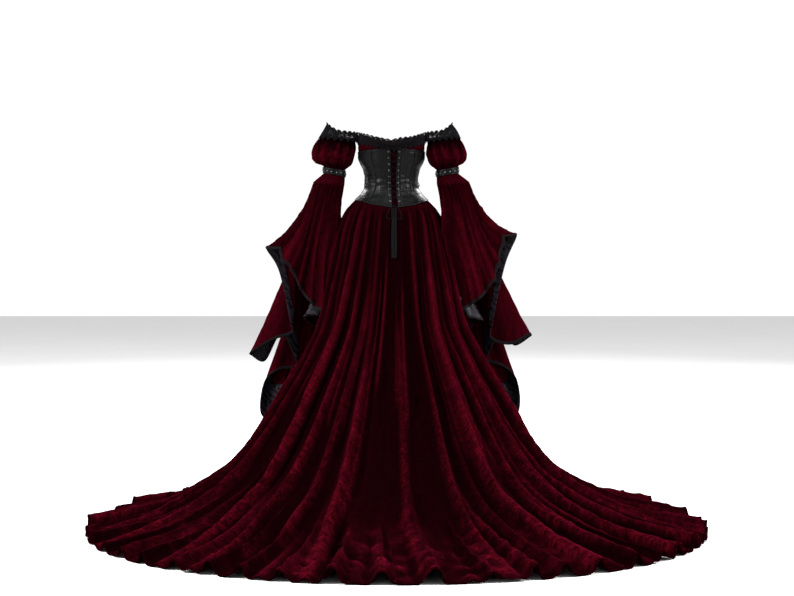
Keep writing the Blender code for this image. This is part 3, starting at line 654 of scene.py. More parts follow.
def leather_look(name, colour, edge, roughness):
    look = Look(name, roughness, 0.055)
    grain = look.voronoi(750.0)
    wrinkles = look.noise(70.0, 6.0, 0.65, look.scaled((0.5, 0.5, 1.6)))
    wear = look.noise(14.0, 4.0, 0.6)
    look.colour(look.mix(look.spread(wear, 0.35, 0.75), colour, edge))
    look.rough(look.spread(wrinkles, 0.25, 0.75, roughness - 0.09, roughness + 0.13))
    look.bump((wrinkles, 0.30, 0.0010), (grain, 0.22, 0.0003))
    return look.material


def thread_look(name, colour, light, roughness, scale):
    look = Look(name, roughness, 0.0)
    strands = look.wave(scale, 1.5)
    fuzz = look.noise(scale * 3.0, 3.0)
    look.colour(look.mix(look.maths("MULTIPLY", strands, fuzz), colour, light))
    look.bump((strands, 0.6, 0.0004), (fuzz, 0.3, 0.0002))
    look.sheen(0.03, 0.4, (0.7, 0.7, 0.8))
    return look.material


def lining_look():
    """Black satin ground with a duller purple-grey woven scroll of plain repeated forms."""
    look = Look("lining_brocade_fine", 0.36, 0.035)
    cells = look.voronoi(34.0, "SMOOTH_F1")
    rings = look.spread(look.wave(26.0, 9.0), 0.45, 0.60)
    leaves = look.spread(cells, 0.18, 0.42, 1.0, 0.0)
    figure = look.maths("MAXIMUM", look.maths("MULTIPLY", rings, 0.8), leaves)
    weave = look.noise(1400.0, 2.0)
    look.colour(look.mix(figure, (0.0016, 0.0013, 0.0019), (0.009, 0.0075, 0.0105)))
    look.rough(look.spread(figure, 0.0, 1.0, 0.30, 0.55))
    look.bump((figure, 0.25, 0.0004), (weave, 0.15, 0.0002))
    return look.material


def metal_look(name, colour, roughness):
    look = Look(name, roughness, 0.5)
    look.shader.inputs["Metallic"].default_value = 1.0
    tarnish = look.noise(260.0, 4.0)
    look.colour(look.mix(look.spread(tarnish, 0.3, 0.8), colour, tuple(c * 0.6 for c in colour)))
    look.rough(look.spread(tarnish, 0.2, 0.8, roughness - 0.06, roughness + 0.12))
    look.bump((tarnish, 0.1, 0.0002))
    return look.material


def floor_look():
    look = Look("studio_floor", 0.9, 0.1)
    look.colour(look.mix(look.noise(2.0, 3.0), (0.56, 0.56, 0.56), (0.60, 0.60, 0.60)))
    look.bump((look.noise(60.0), 0.02, 0.001))
    return look.material


VELVET_LOOK = velvet_look("velvet_burgundy_fine", (0.0014, 0.0001, 0.0003), (0.034, 0.0008, 0.0031), 0.05)
# Darker velvet for the hem's edge strip: partly the hem's turned edge, partly painted shade.
HEM_LOOK = velvet_look("velvet_hem_edge", (0.001, 0.0000, 0.0002), (0.008, 0.0003, 0.0014), 0.03)
LEATHER_LOOK = leather_look("leather_black_fine", (0.0008, 0.0009, 0.0010), (0.0020, 0.0021, 0.0023), 0.37)
PLACKET_LOOK = leather_look("leather_placket_fine", (0.0009, 0.0010, 0.0011), (0.0020, 0.0021, 0.0023), 0.36)
LACE_LOOK = thread_look("lace_black_fine", (0.0015, 0.0013, 0.0015), (0.005, 0.0045, 0.005), 0.80, 420.0)
BRAID_LOOK = thread_look("braid_black_fine", (0.0018, 0.0016, 0.0018), (0.012, 0.011, 0.012), 0.60, 210.0)
CORD_LOOK = thread_look("cord_black_fine", (0.0012, 0.0012, 0.0013), (0.005, 0.005, 0.006), 0.60, 700.0)
TAPE_LOOK = thread_look("tape_black_fine", (0.0016, 0.0016, 0.0018), (0.006, 0.006, 0.007), 0.50, 900.0)
THREAD_LOOK = thread_look("stitch_thread", (0.0030, 0.0030, 0.0033), (0.014, 0.014, 0.016), 0.50, 1500.0)
LINING_LOOK = lining_look()
EYELET_LOOK = metal_look("eyelet_nickel", (0.10, 0.10, 0.097), 0.38)
STUD_LOOK = metal_look("stud_steel", (0.13, 0.13, 0.13), 0.30)


# Camera, floor and light


def make_studio():
    camera = bpy.data.cameras.new("camera")
    camera.lens = CAMERA_LENS
    camera.sensor_width = 36.0
    camera.clip_end = 60.0
    placed = bpy.data.objects.new("camera", camera)
    placed.location = CAMERA_PLACE
    placed.rotation_euler = (math.radians(90 - CAMERA_DOWN), 0.0, 0.0)
    bpy.context.scene.collection.objects.link(placed)
    bpy.context.scene.camera = placed

    size = FLOOR_HALF
    corners = np.array([(-size, -size, 0.0), (size, -size, 0.0), (size, size, 0.0), (-size, size, 0.0)])
    corners[:, 2] = -WAIST_HEIGHT
    mesh = quick_mesh("floor", corners, np.array([[0, 1, 2, 3]]), floor_look())
    floor = bpy.data.objects.new("floor", mesh)
    bpy.context.scene.collection.objects.link(floor)

    world = bpy.data.worlds.new("studio")
    world.use_nodes = True
    world.node_tree.nodes["Background"].inputs["Color"].default_value = (1.0, 1.0, 1.0, 1.0)
    world.node_tree.nodes["Background"].inputs["Strength"].default_value = WORLD_STRENGTH
    bpy.context.scene.world = world
    bpy.context.scene.view_settings.view_transform = "Standard"

    for name, place, aim, energy, width in LIGHTS:
        light = bpy.data.lights.new(name, "AREA")
        light.energy = energy
        light.size = width
        lamp = bpy.data.objects.new(name, light)
        lamp.location = place
        away = unit(np.array(place, float) - np.array(aim, float))
        from_z = math.acos(float(away[2]))
        lamp.rotation_euler = (from_z, 0.0, math.atan2(float(away[0]), -float(away[1])))
        bpy.context.scene.collection.objects.link(lamp)


# Skirt


def solid_fold(angle, height):
    """The folds of the solids, in metres outward."""
    begun = np.clip((edge_height(CORSET_LOWER_EDGE, angle) - height) / FOLDS_BEGIN_OVER, 0, 1)
    push = np.zeros(np.broadcast(angle, height).shape)
    for centre, width, share in SKIRT_FOLDS:
        away = turned(angle - centre)
        push = push + share * np.exp(-((away / width) ** 2))
    return (push - FOLD_MIDDLE) * begun * through(FOLD_GROWTH, height)


def crisp_folds(angle, height):
    """The same folds with a narrower crest that leans to one side."""
    push = np.zeros(angle.shape)
    for k, (centre, width, share) in enumerate(SKIRT_FOLDS):
        drift = 1.3 * np.sin(3.1 * height + 1.7 * k)
        away = turned(angle - centre - drift)
        lean = np.where(away * (1 if k % 2 else -1) > 0, 0.70, 0.36)
        push += share * np.exp(-((np.abs(away) / (width * lean)) ** 1.25))
    return push


def small_folds(angle, height):
    """Lesser folds between the large ones, each over its own stretch of height, in metres."""
    rng = np.random.default_rng(23)
    total = np.zeros(angle.shape)
    for k in range(SMALL_FOLDS):
        centre = (k + rng.uniform(0.1, 0.9)) * 360.0 / SMALL_FOLDS
        width = rng.uniform(0.9, 1.9)
        share = rng.uniform(0.5, 1.1) * (1 if rng.uniform() < 0.72 else -0.7)
        top = rng.uniform(0.55, 1.05)
        bottom = rng.uniform(-0.05, 0.42)
        bend = rng.uniform(-3.0, 3.0)
        away = turned(angle - centre - bend * (0.6 - height))
        window = smooth((top - height) / 0.16) * smooth((height - bottom) / 0.10)
        total += share * window * np.exp(-((np.abs(away) / width) ** 1.3))
    return total


def waist_gathers(angle, height):
    below = edge_height(CORSET_LOWER_EDGE, angle) - height
    size = smooth(below / 0.02) * smooth((0.20 - below) / 0.17)
    uneven = np.cos(np.radians(angle * 97) + 2.2 * np.sin(np.radians(angle * 5)))
    uneven += 0.7 * np.cos(np.radians(angle * 61) + 1.0 + np.sin(np.radians(angle * 9)))
    return 0.0010 * uneven * size


def skirt_levels():
    """Heights of the fine rows, evenly spaced along the back."""
    dense = np.linspace(SKIRT_KEEPS[-1][0], FLOOR_CLEARANCE + 0.001, 3000)
    back = through(BODY_SECTIONS, dense, 3)
    side = through(BODY_SECTIONS, dense, 1)
    out = 0.5 * (np.abs(np.diff(back)) + np.abs(np.diff(side)))
    travel = np.concatenate([[0], np.cumsum(np.hypot(np.diff(dense), out))])
    return np.interp(np.linspace(0, travel[-1], SKIRT_FINE_ROWS), travel, dense)


def skirt_surface():
    columns = SOLID_COLUMNS * SKIRT_FINE
    even = np.arange(columns) * 360.0 / columns
    around = even + sum(size * np.sin(number * np.radians(even)) for number, size in COLUMN_SWINGS)
    angle, level = np.meshgrid(around, skirt_levels())
    keep = np.interp(level, [row[0] for row in SKIRT_KEEPS], [row[1] for row in SKIRT_KEEPS])
    point = edge_height(CORSET_LOWER_EDGE, angle) - edge_height(CORSET_LOWER_EDGE, 90)
    height = np.maximum(level + keep * point, 0.0)
    points = body_point(angle, height, 0.75 * solid_fold(angle, height))
    along = (np.arange(columns) * 2.0 / SKIRT_FINE + 1) / (2 * SOLID_COLUMNS / HEM_WAVES)
    sway = 0.10 * np.sin(1.7 * np.floor(along + 0.5))
    flute = (0.5 + 0.5 * np.cos(2 * np.pi * (along + sway))) ** HEM_ARCH_POWER
    size = 1 + HEM_WAVE_SPREAD * np.sin(HEM_WAVE_SPREAD_STEP * np.floor(along + 0.5))
    near_hem = np.clip(1 - level / HEM_WAVES_BEGIN, 0, 1) ** HEM_WAVE_POWER
    points[..., 2] += edge_height(HEM_WAVE_HEIGHTS, angle) * near_hem * (flute * size)[None, :]

    outward = grid_normals(points, True)
    begun = smooth((edge_height(CORSET_LOWER_EDGE, angle) - height) / FOLDS_BEGIN_OVER)
    main = (crisp_folds(angle, height) - 0.40) * begun
    small = (small_folds(angle, height) - 0.15) * begun
    relief = main * through(MAIN_FOLD_SIZE, height) + small * through(SMALL_FOLD_SIZE, height)
    relief += waist_gathers(angle, height)
    # Painted light: highlights on the crests of the large and small folds, painted shade in their valleys.
    raised = 0.19 + 0.86 * main + 0.80 * small + 1.3 * np.clip(main + small - 0.50, 0, 1) ** 2
    left = FULL_LEFT * np.exp(-(((turned(angle) + FULL_ANGLE) / FULL_SPREAD) ** 2))
    right = FULL_RIGHT * np.exp(-(((turned(angle) - FULL_ANGLE) / FULL_SPREAD) ** 2))
    relief += (left + right) * through(FULL_HEIGHTS, height)
    arc = np.radians(angle) * through(BODY_SECTIONS, height, 1)
    across = through(BODY_SECTIONS, height, 3)
    on_floor = smooth((0.16 - height) / 0.12)
    relief += on_floor * 0.0013 * waves(arc, across * 1.8, 5, 0.10, 0.24)
    relief += 0.0007 * waves(arc * 1.5, height, 8, 0.03, 0.09) * begun
    centre = np.exp(-((turned(angle) / 22.0) ** 2))
    crumple = waves(arc * 1.1, across * 1.7, 6, 0.06, 0.15)
    low = smooth((0.10 - height) / 0.06)
    relief += (0.10 + centre) * low * 0.0042 * np.sign(crumple) * np.abs(crumple) ** 1.4
    # Painted light on the train lying on the floor, with painted highlights on the crests of its crumples.
    raised += on_floor * (0.10 + (0.12 + 0.30 * centre) * crumple)
    streaks = waves(np.radians(angle), across * 0.10, 17, 0.035, 0.10)
    relief += on_floor * 0.0042 * streaks
    # Painted highlights on the ridges of the floor streaks.
    raised += on_floor * 0.26 * streaks
    ruffle = flute[None, :] * smooth((0.06 - level) / 0.05)
    relief += 0.007 * ruffle
    # Painted highlights on the hem's waves and painted shade between them at the foot of the hem.
    raised += 0.30 * ruffle - 0.16 * (1 - flute[None, :]) * smooth((0.03 - level) / 0.03)
    points = points + outward * relief[..., None]
    points[..., 2] = np.maximum(points[..., 2], FLOOR_CLEARANCE - WAIST_HEIGHT)
    return points, np.clip(raised, 0.04, 1.0)


def make_skirt():
    points, raised = skirt_surface()
    outward = grid_normals(points, True)
    columns = points.shape[1]
    for name, first, last in SKIRT_GORES:
        picked = np.arange(first * SKIRT_FINE, last * SKIRT_FINE + 1) % columns
        outer, way = points[:, picked].copy(), outward[:, picked]
        travel = lengths_along(outer, 1)
        near = np.minimum(travel, travel[:, -1:] - travel)
        outer -= way * (0.0016 * np.exp(-((near / 0.0045) ** 2)))[..., None]
        outer[..., 2] = np.maximum(outer[..., 2], FLOOR_CLEARANCE - WAIST_HEIGHT)
        inner = outer - way * VELVET
        inner[..., 2] = np.maximum(inner[..., 2], FLOOR_CLEARANCE - WAIST_HEIGHT - VELVET)
        for grid in (outer, inner):
            for end, neighbour in ((0, 1), (-1, -2)):
                toward = unit(grid[:, neighbour] - grid[:, end])
                grid[:, end] += toward * SKIRT_SEAM_GAP / 2
        light = raised[:, picked]
        made = shell(f"{name}_cloth", outer, inner, VELVET_LOOK, nodes=[name], raised=light)
        declare_sheet(outer, False)
    # A darker velvet strip along the hem: partly the hem's turned edge, partly painted shade at the foot of
    # its waves.
    rise = unit(points[-2] - points[-1])
    low = points[-1] + outward[-1] * 0.0004
    strip = np.stack([low + rise * 0.0070, low + rise * 0.0035, low])
    over = strip + outward[-1] * 0.0008
    over[1] += outward[-1] * 0.0005
    even = np.full(over.shape[:2], 0.5)
    shell("skirt_hem_edge", over, strip, HEM_LOOK, wrap=True, raised=even)


# Bodice and corset


def make_bodice():
    shares = np.concatenate([np.linspace(0, 0.40, 40)[:-1], np.linspace(0.40, 1, 10)])[:, None]
    for name, first, last, columns in (
        ("bodice_back", -90.0, 90.0, 140),
        ("bodice_front", 90.0, 270.0, 90),
    ):
        angles = np.linspace(first, last, columns)[None, :]
        top = edge_height(NECK_EDGE, angles)
        low = edge_height(CORSET_LOWER_EDGE, angles) + 0.006
        height = top + (low - top) * shares
        points = body_point(angles, height)
        upper = edge_height(CORSET_UPPER_EDGE, angles)
        bare = smooth((height - upper) / 0.006) * smooth((top - height) / 0.004)
        arc = np.radians(angles) * 0.11
        gather = np.cos(np.radians(angles * 74) + 1.5 * np.sin(np.radians(angles * 7)) + 60 * (height - 1.28))
        fullness = 0.0016 * np.sin(np.pi * np.clip((height - upper) / np.maximum(top - upper, 0.01), 0, 1))
        relief = bare * (0.0009 * gather + fullness + 0.0004 * waves(arc, height, 31, 0.008, 0.03))
        way = radial(points)
        outer = points + way * relief[..., None]
        inner = points - way * BODICE_VELVET
        # Painted light: painted shade where the bodice lies under the corset and shows in the laced gap,
        # painted highlights on the gathers above it.
        light = 0.08 + 0.42 * bare + 0.25 * gather * bare
        made = shell(f"{name}_cloth", outer, inner, VELVET_LOOK, nodes=[name], raised=light)
        declare_sheet(outer, False)


def gap_angle(extra, height):
    half = through(LACED_GAP, height) + extra
    wide = through(BODY_SECTIONS, height, 1)
    return np.degrees(np.arcsin(half / wide))


def corset_surface(begin, end, columns, rows):
    """Angles, heights, points and level outward directions of a panel between two edges."""
    share = np.linspace(0.0, 1.0, rows)[:, None]
    upper = edge_height(CORSET_UPPER_EDGE, 0)
    lower = edge_height(CORSET_LOWER_EDGE, 0)
    level = upper * (1 - share) + lower * share
    first = begin(level) if callable(begin) else np.full_like(level, begin)
    last = end(level) if callable(end) else np.full_like(level, end)
    angle = first + (last - first) * np.linspace(0, 1, columns)[None, :]
    upper = edge_height(CORSET_UPPER_EDGE, angle)
    lower = edge_height(CORSET_LOWER_EDGE, angle)
    height = upper * (1 - share) + lower * share
    points = body_point(angle, height)
    low = CORSET_CLEARANCE[0] * (1 - share) + CORSET_CLEARANCE[1] * share
    return angle, height, points, radial(points), low


def corset_panel(name, begin, end, columns, rows, thickness, look, slot, seed, wrinkle):
    angle, height, points, way, low = corset_surface(begin, end, columns, rows)
    across = lengths_along(points, 1)
    down = lengths_along(points, 0)
    side = np.minimum(across, across[:, -1:] - across)
    edge = np.minimum(down, down[-1:] - down)
    relief = -0.0009 * np.exp(-((side / 0.0020) ** 2)) - 0.0006 * np.exp(-((edge / 0.0009) ** 2))
    relief += 0.00035 * np.exp(-(((side - 0.0048) / 0.0022) ** 2))
    if name.startswith("corset_back"):
        middle = np.abs(across - across[:, -1:] * BACK_SEAM_SHARE[name[-1]])
        relief += 0.0005 * np.exp(-((middle / 0.0040) ** 2)) - 0.0013 * np.exp(-((middle / 0.0011) ** 2))
    relief += 0.0006 * (1 - smooth((edge - 0.0062) / 0.0010))
    relief -= 0.0005 * np.exp(-(((edge - 0.0070) / 0.0007) ** 2))
    inside = smooth(side / 0.006) * smooth((edge - 0.007) / 0.008)
    waist = np.exp(-(((height - 1.148) / 0.030) ** 2))
    waist = waist + 0.35 * np.exp(-(((height - 1.100) / 0.03) ** 2)) + 0.15
    creases = waves(across * 0.45, down, seed, 0.012, 0.030)
    relief += wrinkle * inside * waist * 0.00062 * np.sign(creases) * np.abs(creases) ** 1.3 * 0.6
    relief += wrinkle * inside * 0.0004 * waves(across * 0.5, down * 0.5, seed + 1, 0.02, 0.05)
    outer = points + way * (low + thickness + relief)[..., None]
    inner = points + way * low[..., None]
    for grid in (outer, inner):
        for end_column, neighbour in ((0, 1), (-1, -2)):
            toward = unit(grid[:, neighbour] - grid[:, end_column])
            grid[:, end_column] += toward * SEAM_GAP / 2
    shell(f"{name}_leather", outer, inner, look, nodes=[name])
    return outer, way


def stitches(name, path, outward, length=0.0030):
    """A row of raised thread stitches along a path of points."""
    travel = lengths_along(path[:, None, :], 0)[:, 0]
    starts = np.arange(0.002, travel[-1] - length, length + STITCH_GAP)
    points, faces = [], []
    for start in starts:
        ends = (start, start + length)
        a, b = (np.array([np.interp(s, travel, path[:, k]) for k in range(3)]) for s in ends)
        up = np.array([np.interp(start + length / 2, travel, outward[:, k]) for k in range(3)])
        run = unit(b - a)
        across = unit(np.cross(up, run)) * STITCH_WIDTH / 2
        lift = unit(up) * STITCH_WIDTH * 0.45
        base = len(points)
        near, far = a + (b - a) * 0.22, a + (b - a) * 0.78
        points += [a, b]
        for centre in (near, far):
            points += [centre + across, centre + lift, centre - across, centre - lift]
        ring_a, ring_b = range(base + 2, base + 6), range(base + 6, base + 10)
        for k in range(4):
            n = (k + 1) % 4
            faces.append((base, ring_a[n], ring_a[k], base))
            faces.append((ring_a[k], ring_a[n], ring_b[n], ring_b[k]))
            faces.append((base + 1, ring_b[k], ring_b[n], base + 1))
    mesh = bpy.data.meshes.new(name)
    clean = [tuple(dict.fromkeys(face)) for face in faces]
    mesh.from_pydata([tuple(p) for p in points], [], clean)
    mesh.materials.append(THREAD_LOOK)
    mesh.shade_smooth()
    piece(name, mesh)


def make_corset():
    for side, sign in SIDES:
        def inner_edge(level, sign=sign):
            return sign * gap_angle(0, level)

        def placket_edge(level, sign=sign):
            return sign * gap_angle(PLACKET_WIDTH, level)

        runs = [
            (
                "corset_placket", inner_edge, placket_edge, 16, 120,
                PLACKET_LEATHER, PLACKET_LOOK, "placket", 0.3,
            ),
            ("corset_back", placket_edge, sign * 40.0, 54, 150, LEATHER, LEATHER_LOOK, "leather", 1.2),
        ]
        runs += [
            (name, sign * float(first), sign * float(last), 40, 90, LEATHER, LEATHER_LOOK, "leather", 1.0)
            for name, first, last in CORSET_PANELS
        ]
        for k, (name, first, last, columns, rows, thickness, look, slot, wrinkle) in enumerate(runs):
            if sign < 0:
                first, last = last, first
            seed = 40 + 7 * k + (3 if sign > 0 else 0)
            outer, way = corset_panel(
                f"{name}_{side}", first, last, columns, rows, thickness, look, slot, seed, wrinkle
            )
            corset_seams(f"{name}_{side}", outer, way)
    outer, way = corset_panel(
        "corset_front", *FRONT_PANEL, 64, 80, LEATHER, LEATHER_LOOK, "leather", 90, 0.6
    )
    corset_seams("corset_front", outer, way)


def corset_seams(name, outer, way):
    """Stitch lines beside both upright seams and along the bound lower edge."""
    across = lengths_along(outer, 1)
    narrow = across[:, -1].mean() < 0.02
    inset = 0.0016 if narrow else 0.0034
    rows = np.arange(outer.shape[0])
    for label, wanted in (("a", across * 0 + inset), ("b", across[:, -1:] - inset)):
        column = np.abs(across - wanted[:, :1]).argmin(axis=1)
        path = outer[rows, column] + way[rows, column] * 0.0001
        stitches(f"{name}_stitch_{label}", path[4:-4], way[rows, column][4:-4])
    down = lengths_along(outer, 0)
    row = int(np.abs(down[-1:] - down - 0.0080).mean(axis=1).argmin())
    stitches(f"{name}_stitch_low", outer[row] + way[row] * 0.0001, way[row])


# Lace


def lace_pattern(s, v, period, height):
    """Where lace thread is: s runs along the edge in metres, v down from the scallop valleys."""
    cell = (s / period + 0.5) % 1.0 - 0.5
    u = cell * period
    half = (s / period) % 1.0 - 0.5
    w = half * period

    def petals(x, y, radius, number, hole):
        r = np.hypot(x, y)
        turn = np.arctan2(y, x)
        reach = radius * (0.72 + 0.28 * np.cos(number * turn))
        return (r < reach) & (r > hole)

    def leaf(x, y, turn, long, wide):
        a = x * math.cos(turn) + y * math.sin(turn)
        b = -x * math.sin(turn) + y * math.cos(turn)
        inside = (a / long) ** 2 + (b / wide) ** 2 < 1
        return inside & (np.abs(b) > wide * 0.13)

    top = -0.0100 + 0.0098 * (1 - np.sqrt(np.clip(1 - (u / (period * 0.5)) ** 2, 0, 1)))
    rim = (v > top) & (v < top + 0.0024)
    inner_rim = (v > top + 0.0036) & (v < top + 0.0050) & (np.abs(u) < period * 0.42)
    eyes = np.hypot(np.abs(u) - period * 0.20, v + 0.0030) < 0.0011
    eyes |= np.hypot(u, v + 0.0050) < 0.0013
    spokes = (v > top) & (v < 0.002) & ~eyes
    flower = petals(u, v - 0.0075, period * 0.36, 5, 0.0011)
    small = petals(w, v - 0.0020, period * 0.17, 4, 0.0006)
    leaves = leaf(u - period * 0.30, v - height * 0.62, 0.7, period * 0.30, period * 0.11)
    leaves |= leaf(u + period * 0.30, v - height * 0.62, -0.7, period * 0.30, period * 0.11)
    leaves |= leaf(u, v - height * 0.80, 1.571, height * 0.20, period * 0.12)
    band = (v > -0.0010) & (v < 0.0008)
    low = height - 0.0040 + 0.0036 * np.cos(2 * np.pi * s / period)
    foot = (v < low) & (v > low - 0.0018)
    net_a = np.abs(((s + v) / 0.0042) % 1.0 - 0.5) > 0.28
    net_b = np.abs(((s - v) / 0.0042) % 1.0 - 0.5) > 0.28
    net = (net_a | net_b) & (v > 0) & (v < low)
    raised = flower | leaves | small | rim
    keep = raised | inner_rim | spokes | band | foot | net
    keep &= (v > top) & (v < low + 0.0001)
    return keep, raised


def lace_strip(name, node, points, outward, s, v, period, height, flip=False):
    """Cuts a fine grid to the lace pattern and raises its motifs."""
    middle_s = (s[:-1, :-1] + s[1:, 1:]) / 2
    middle_v = (v[:-1, :-1] + v[1:, 1:]) / 2
    keep, _ = lace_pattern(middle_s, middle_v, period, height)
    _, raised = lace_pattern(s, v, period, height)
    lift = np.where(raised, 0.0005, 0.0)
    outer = points + outward * (LACE * 0.8 + lift)[..., None]
    shell(name, outer, points, LACE_LOOK, flip=flip, keep=keep, nodes=[node])


def make_neck_lace():
    for name, first, last, cell in (
        ("neck_lace_back", -90.0, 90.0, LACE_CELL_BACK),
        ("neck_lace_front", 90.0, 270.0, LACE_CELL_FRONT),
    ):
        columns = int(NECK_LACE_ROUND / cell / 2)
        rows = int((LACE_DEPTH + 0.011) / cell)
        angle = np.linspace(first, last, columns)[None, :]
        v = np.linspace(-0.0105, LACE_DEPTH, rows)[:, None] + 0 * angle
        edge = edge_height(NECK_EDGE, angle)
        height = edge - v
        points = body_point(angle, height)
        way = radial(points)
        over = edge_height(CORSET_UPPER_EDGE, angle)
        on_leather = smooth((over + 0.004 - height) / 0.004) * (LEATHER + CORSET_CLEARANCE[0] + 0.0008)
        full = 0.0030 * np.sin(np.pi * np.clip((height - over) / np.maximum(edge - over, 0.01), 0, 1))
        lift = SEAM_GAP + np.maximum(on_leather, full)
        points = points + way * lift[..., None]
        s = angle / 360.0 * NECK_LACE_ROUND + 0 * v
        period = NECK_LACE_ROUND / NECK_SCALLOPS
        lace_strip(f"{name}_cut", name, points, way, s, v, period, LACE_DEPTH)


def ring(section, angles, side, out=0.0):
    height, inner_left, outer_left, inner_right, outer_right, half_depth, slope = section
    inner, outer = (inner_right, outer_right) if side > 0 else (inner_left, outer_left)
    turn = np.radians(angles)
    half = (outer - inner) / 2 + out
    x = side * ((inner + outer) / 2 + half * np.cos(turn))
    y = -(half_depth + out) * np.sin(turn)
    z = height + slope / 2 * np.cos(turn) - WAIST_HEIGHT
    return np.stack(np.broadcast_arrays(x, y, z), axis=-1)


def away_from_arm(section, angles, side):
    return ring(section, angles, side, 1.0) - ring(section, angles, side)


def between_sections(sections, share):
    """A section of a ring stack at a share of the way down."""
    place = share * (len(sections) - 1)
    keyed = [tuple(enumerate(column)) for column in zip(*sections)]
    return tuple(through(column, place) for column in keyed)


def make_sleeve_lace():
    for side_name, side in SIDES:
        for part, first, last, cell in (
            ("back", 0.0, 180.0, LACE_CELL_BACK),
            ("front", 180.0, 360.0, LACE_CELL_FRONT),
        ):
            columns = int(SLEEVE_LACE_ROUND / cell / 2)
            rows = int((LACE_DEPTH + 0.0105) / cell)
            angle = np.linspace(first, last, columns)
            v = np.linspace(-0.0100, LACE_DEPTH, rows)
            grid = np.empty((rows, columns, 3))
            outward = np.clip(np.cos(np.radians(angle)), 0, 1) ** 2
            for k, below in enumerate(v):
                share = float(np.clip(below / LACE_DEPTH, 0, 1))
                section = between_sections(SLEEVE_LACE_SECTIONS, share)
                rise = float(through(tuple(enumerate(SLEEVE_LACE_RISES)), share * 2))
                grid[k] = ring(section, angle, side)
                grid[k, :, 2] += outward * rise - min(below, 0.0)
            way = grid_normals(grid, False, side > 0)
            angles = np.broadcast_to(angle, (rows, columns))
            heights = np.broadcast_to(v[:, None], (rows, columns))
            s = angles / 360.0 * SLEEVE_LACE_ROUND
            node = f"sleeve_lace_{part}_{side_name}"
            period = SLEEVE_LACE_ROUND / SLEEVE_SCALLOPS
            lace_strip(f"{node}_cut", node, grid, way, s, heights, period, LACE_DEPTH, side > 0)


# Sleeves


def make_puffs():
    angle = np.arange(PUFF_FINE_COLUMNS) * 360.0 / PUFF_FINE_COLUMNS
    turn = np.radians(angle)
    for side_name, side in SIDES:
        rows, light = [], []
        for share in np.linspace(0, 1, PUFF_FINE_ROWS):
            section = between_sections(PUFF_SECTIONS, float(share))
            row = ring(section, angle, side)
            away = away_from_arm(section, angle, side)
            place = share * 5
            full = float(smooth(place / 0.7) * smooth((3.95 - place) / 0.8))
            upper = float(smooth((2.4 - place) / 2.2) * smooth(place / 0.25))
            lower = float(smooth((place - 1.6) / 1.9) * smooth((4.0 - place) / 0.25))
            soft = np.cos(11 * turn + 0.5 * place + 0.5 * np.sin(3 * turn)) - 1
            tight_up = np.abs(np.cos(14 * turn + 0.8 * np.sin(5 * turn + 1) + 0.35 * place)) ** 0.7 - 0.8
            tight_low = np.abs(np.cos(16 * turn + 1.1 * np.sin(4 * turn) - 0.30 * place)) ** 0.7 - 0.8
            relief = 0.0017 * full * soft + 0.0044 * upper * tight_up + 0.0048 * lower * tight_low
            down = np.full_like(turn, share * 0.12)
            relief += 0.0008 * full * waves(turn * 0.07, down, 51 + side, 0.012, 0.03)
            belly = 0.0040 * math.sin(math.pi * min(max((place - 1.0) / 2.8, 0.0), 1.0))
            relief += belly - 0.0045 * math.exp(-((place - 0.7) ** 2) / 0.3)
            rows.append(row + away * relief[:, None])
            # Painted light: highlights on the puff's ridges, painted shade in its gathers.
            light.append(0.26 + 105 * relief)
        outer = np.stack(rows)
        inner = outer - grid_normals(outer, True, side > 0) * SLEEVE_VELVET
        node = f"puff_{side_name}"
        made = shell(
            f"{node}_cloth", outer, inner, VELVET_LOOK, True, side > 0, None, [node],
            np.stack(light),
        )
        declare_sheet(outer, True)


def dome(centre, up, radius, height, points, faces):
    """Adds a shallow dome to lists of points and faces."""
    side = unit(np.cross(up, np.array([0.3, 0.2, 1.0])))
    other = np.cross(up, side)
    base = len(points)
    for k in range(DOME_RINGS):
        turn = k / DOME_RINGS * math.pi / 2
        for j in range(DOME_AROUND):
            spin = 2 * math.pi * j / DOME_AROUND
            flat = (side * math.cos(spin) + other * math.sin(spin)) * radius * math.cos(turn)
            points.append(centre + flat + up * height * math.sin(turn))
    points.append(centre + up * height)
    for k in range(DOME_RINGS - 1):
        start = base + k * DOME_AROUND
        for j in range(DOME_AROUND):
            a = start + j
            b = start + (j + 1) % DOME_AROUND
            faces.append((a, b, b + DOME_AROUND, a + DOME_AROUND))
    last = base + (DOME_RINGS - 1) * DOME_AROUND
    tip = base + DOME_RINGS * DOME_AROUND
    for j in range(DOME_AROUND):
        faces.append((last + j, last + (j + 1) % DOME_AROUND, tip))
    faces.append(tuple(base + j for j in reversed(range(DOME_AROUND))))


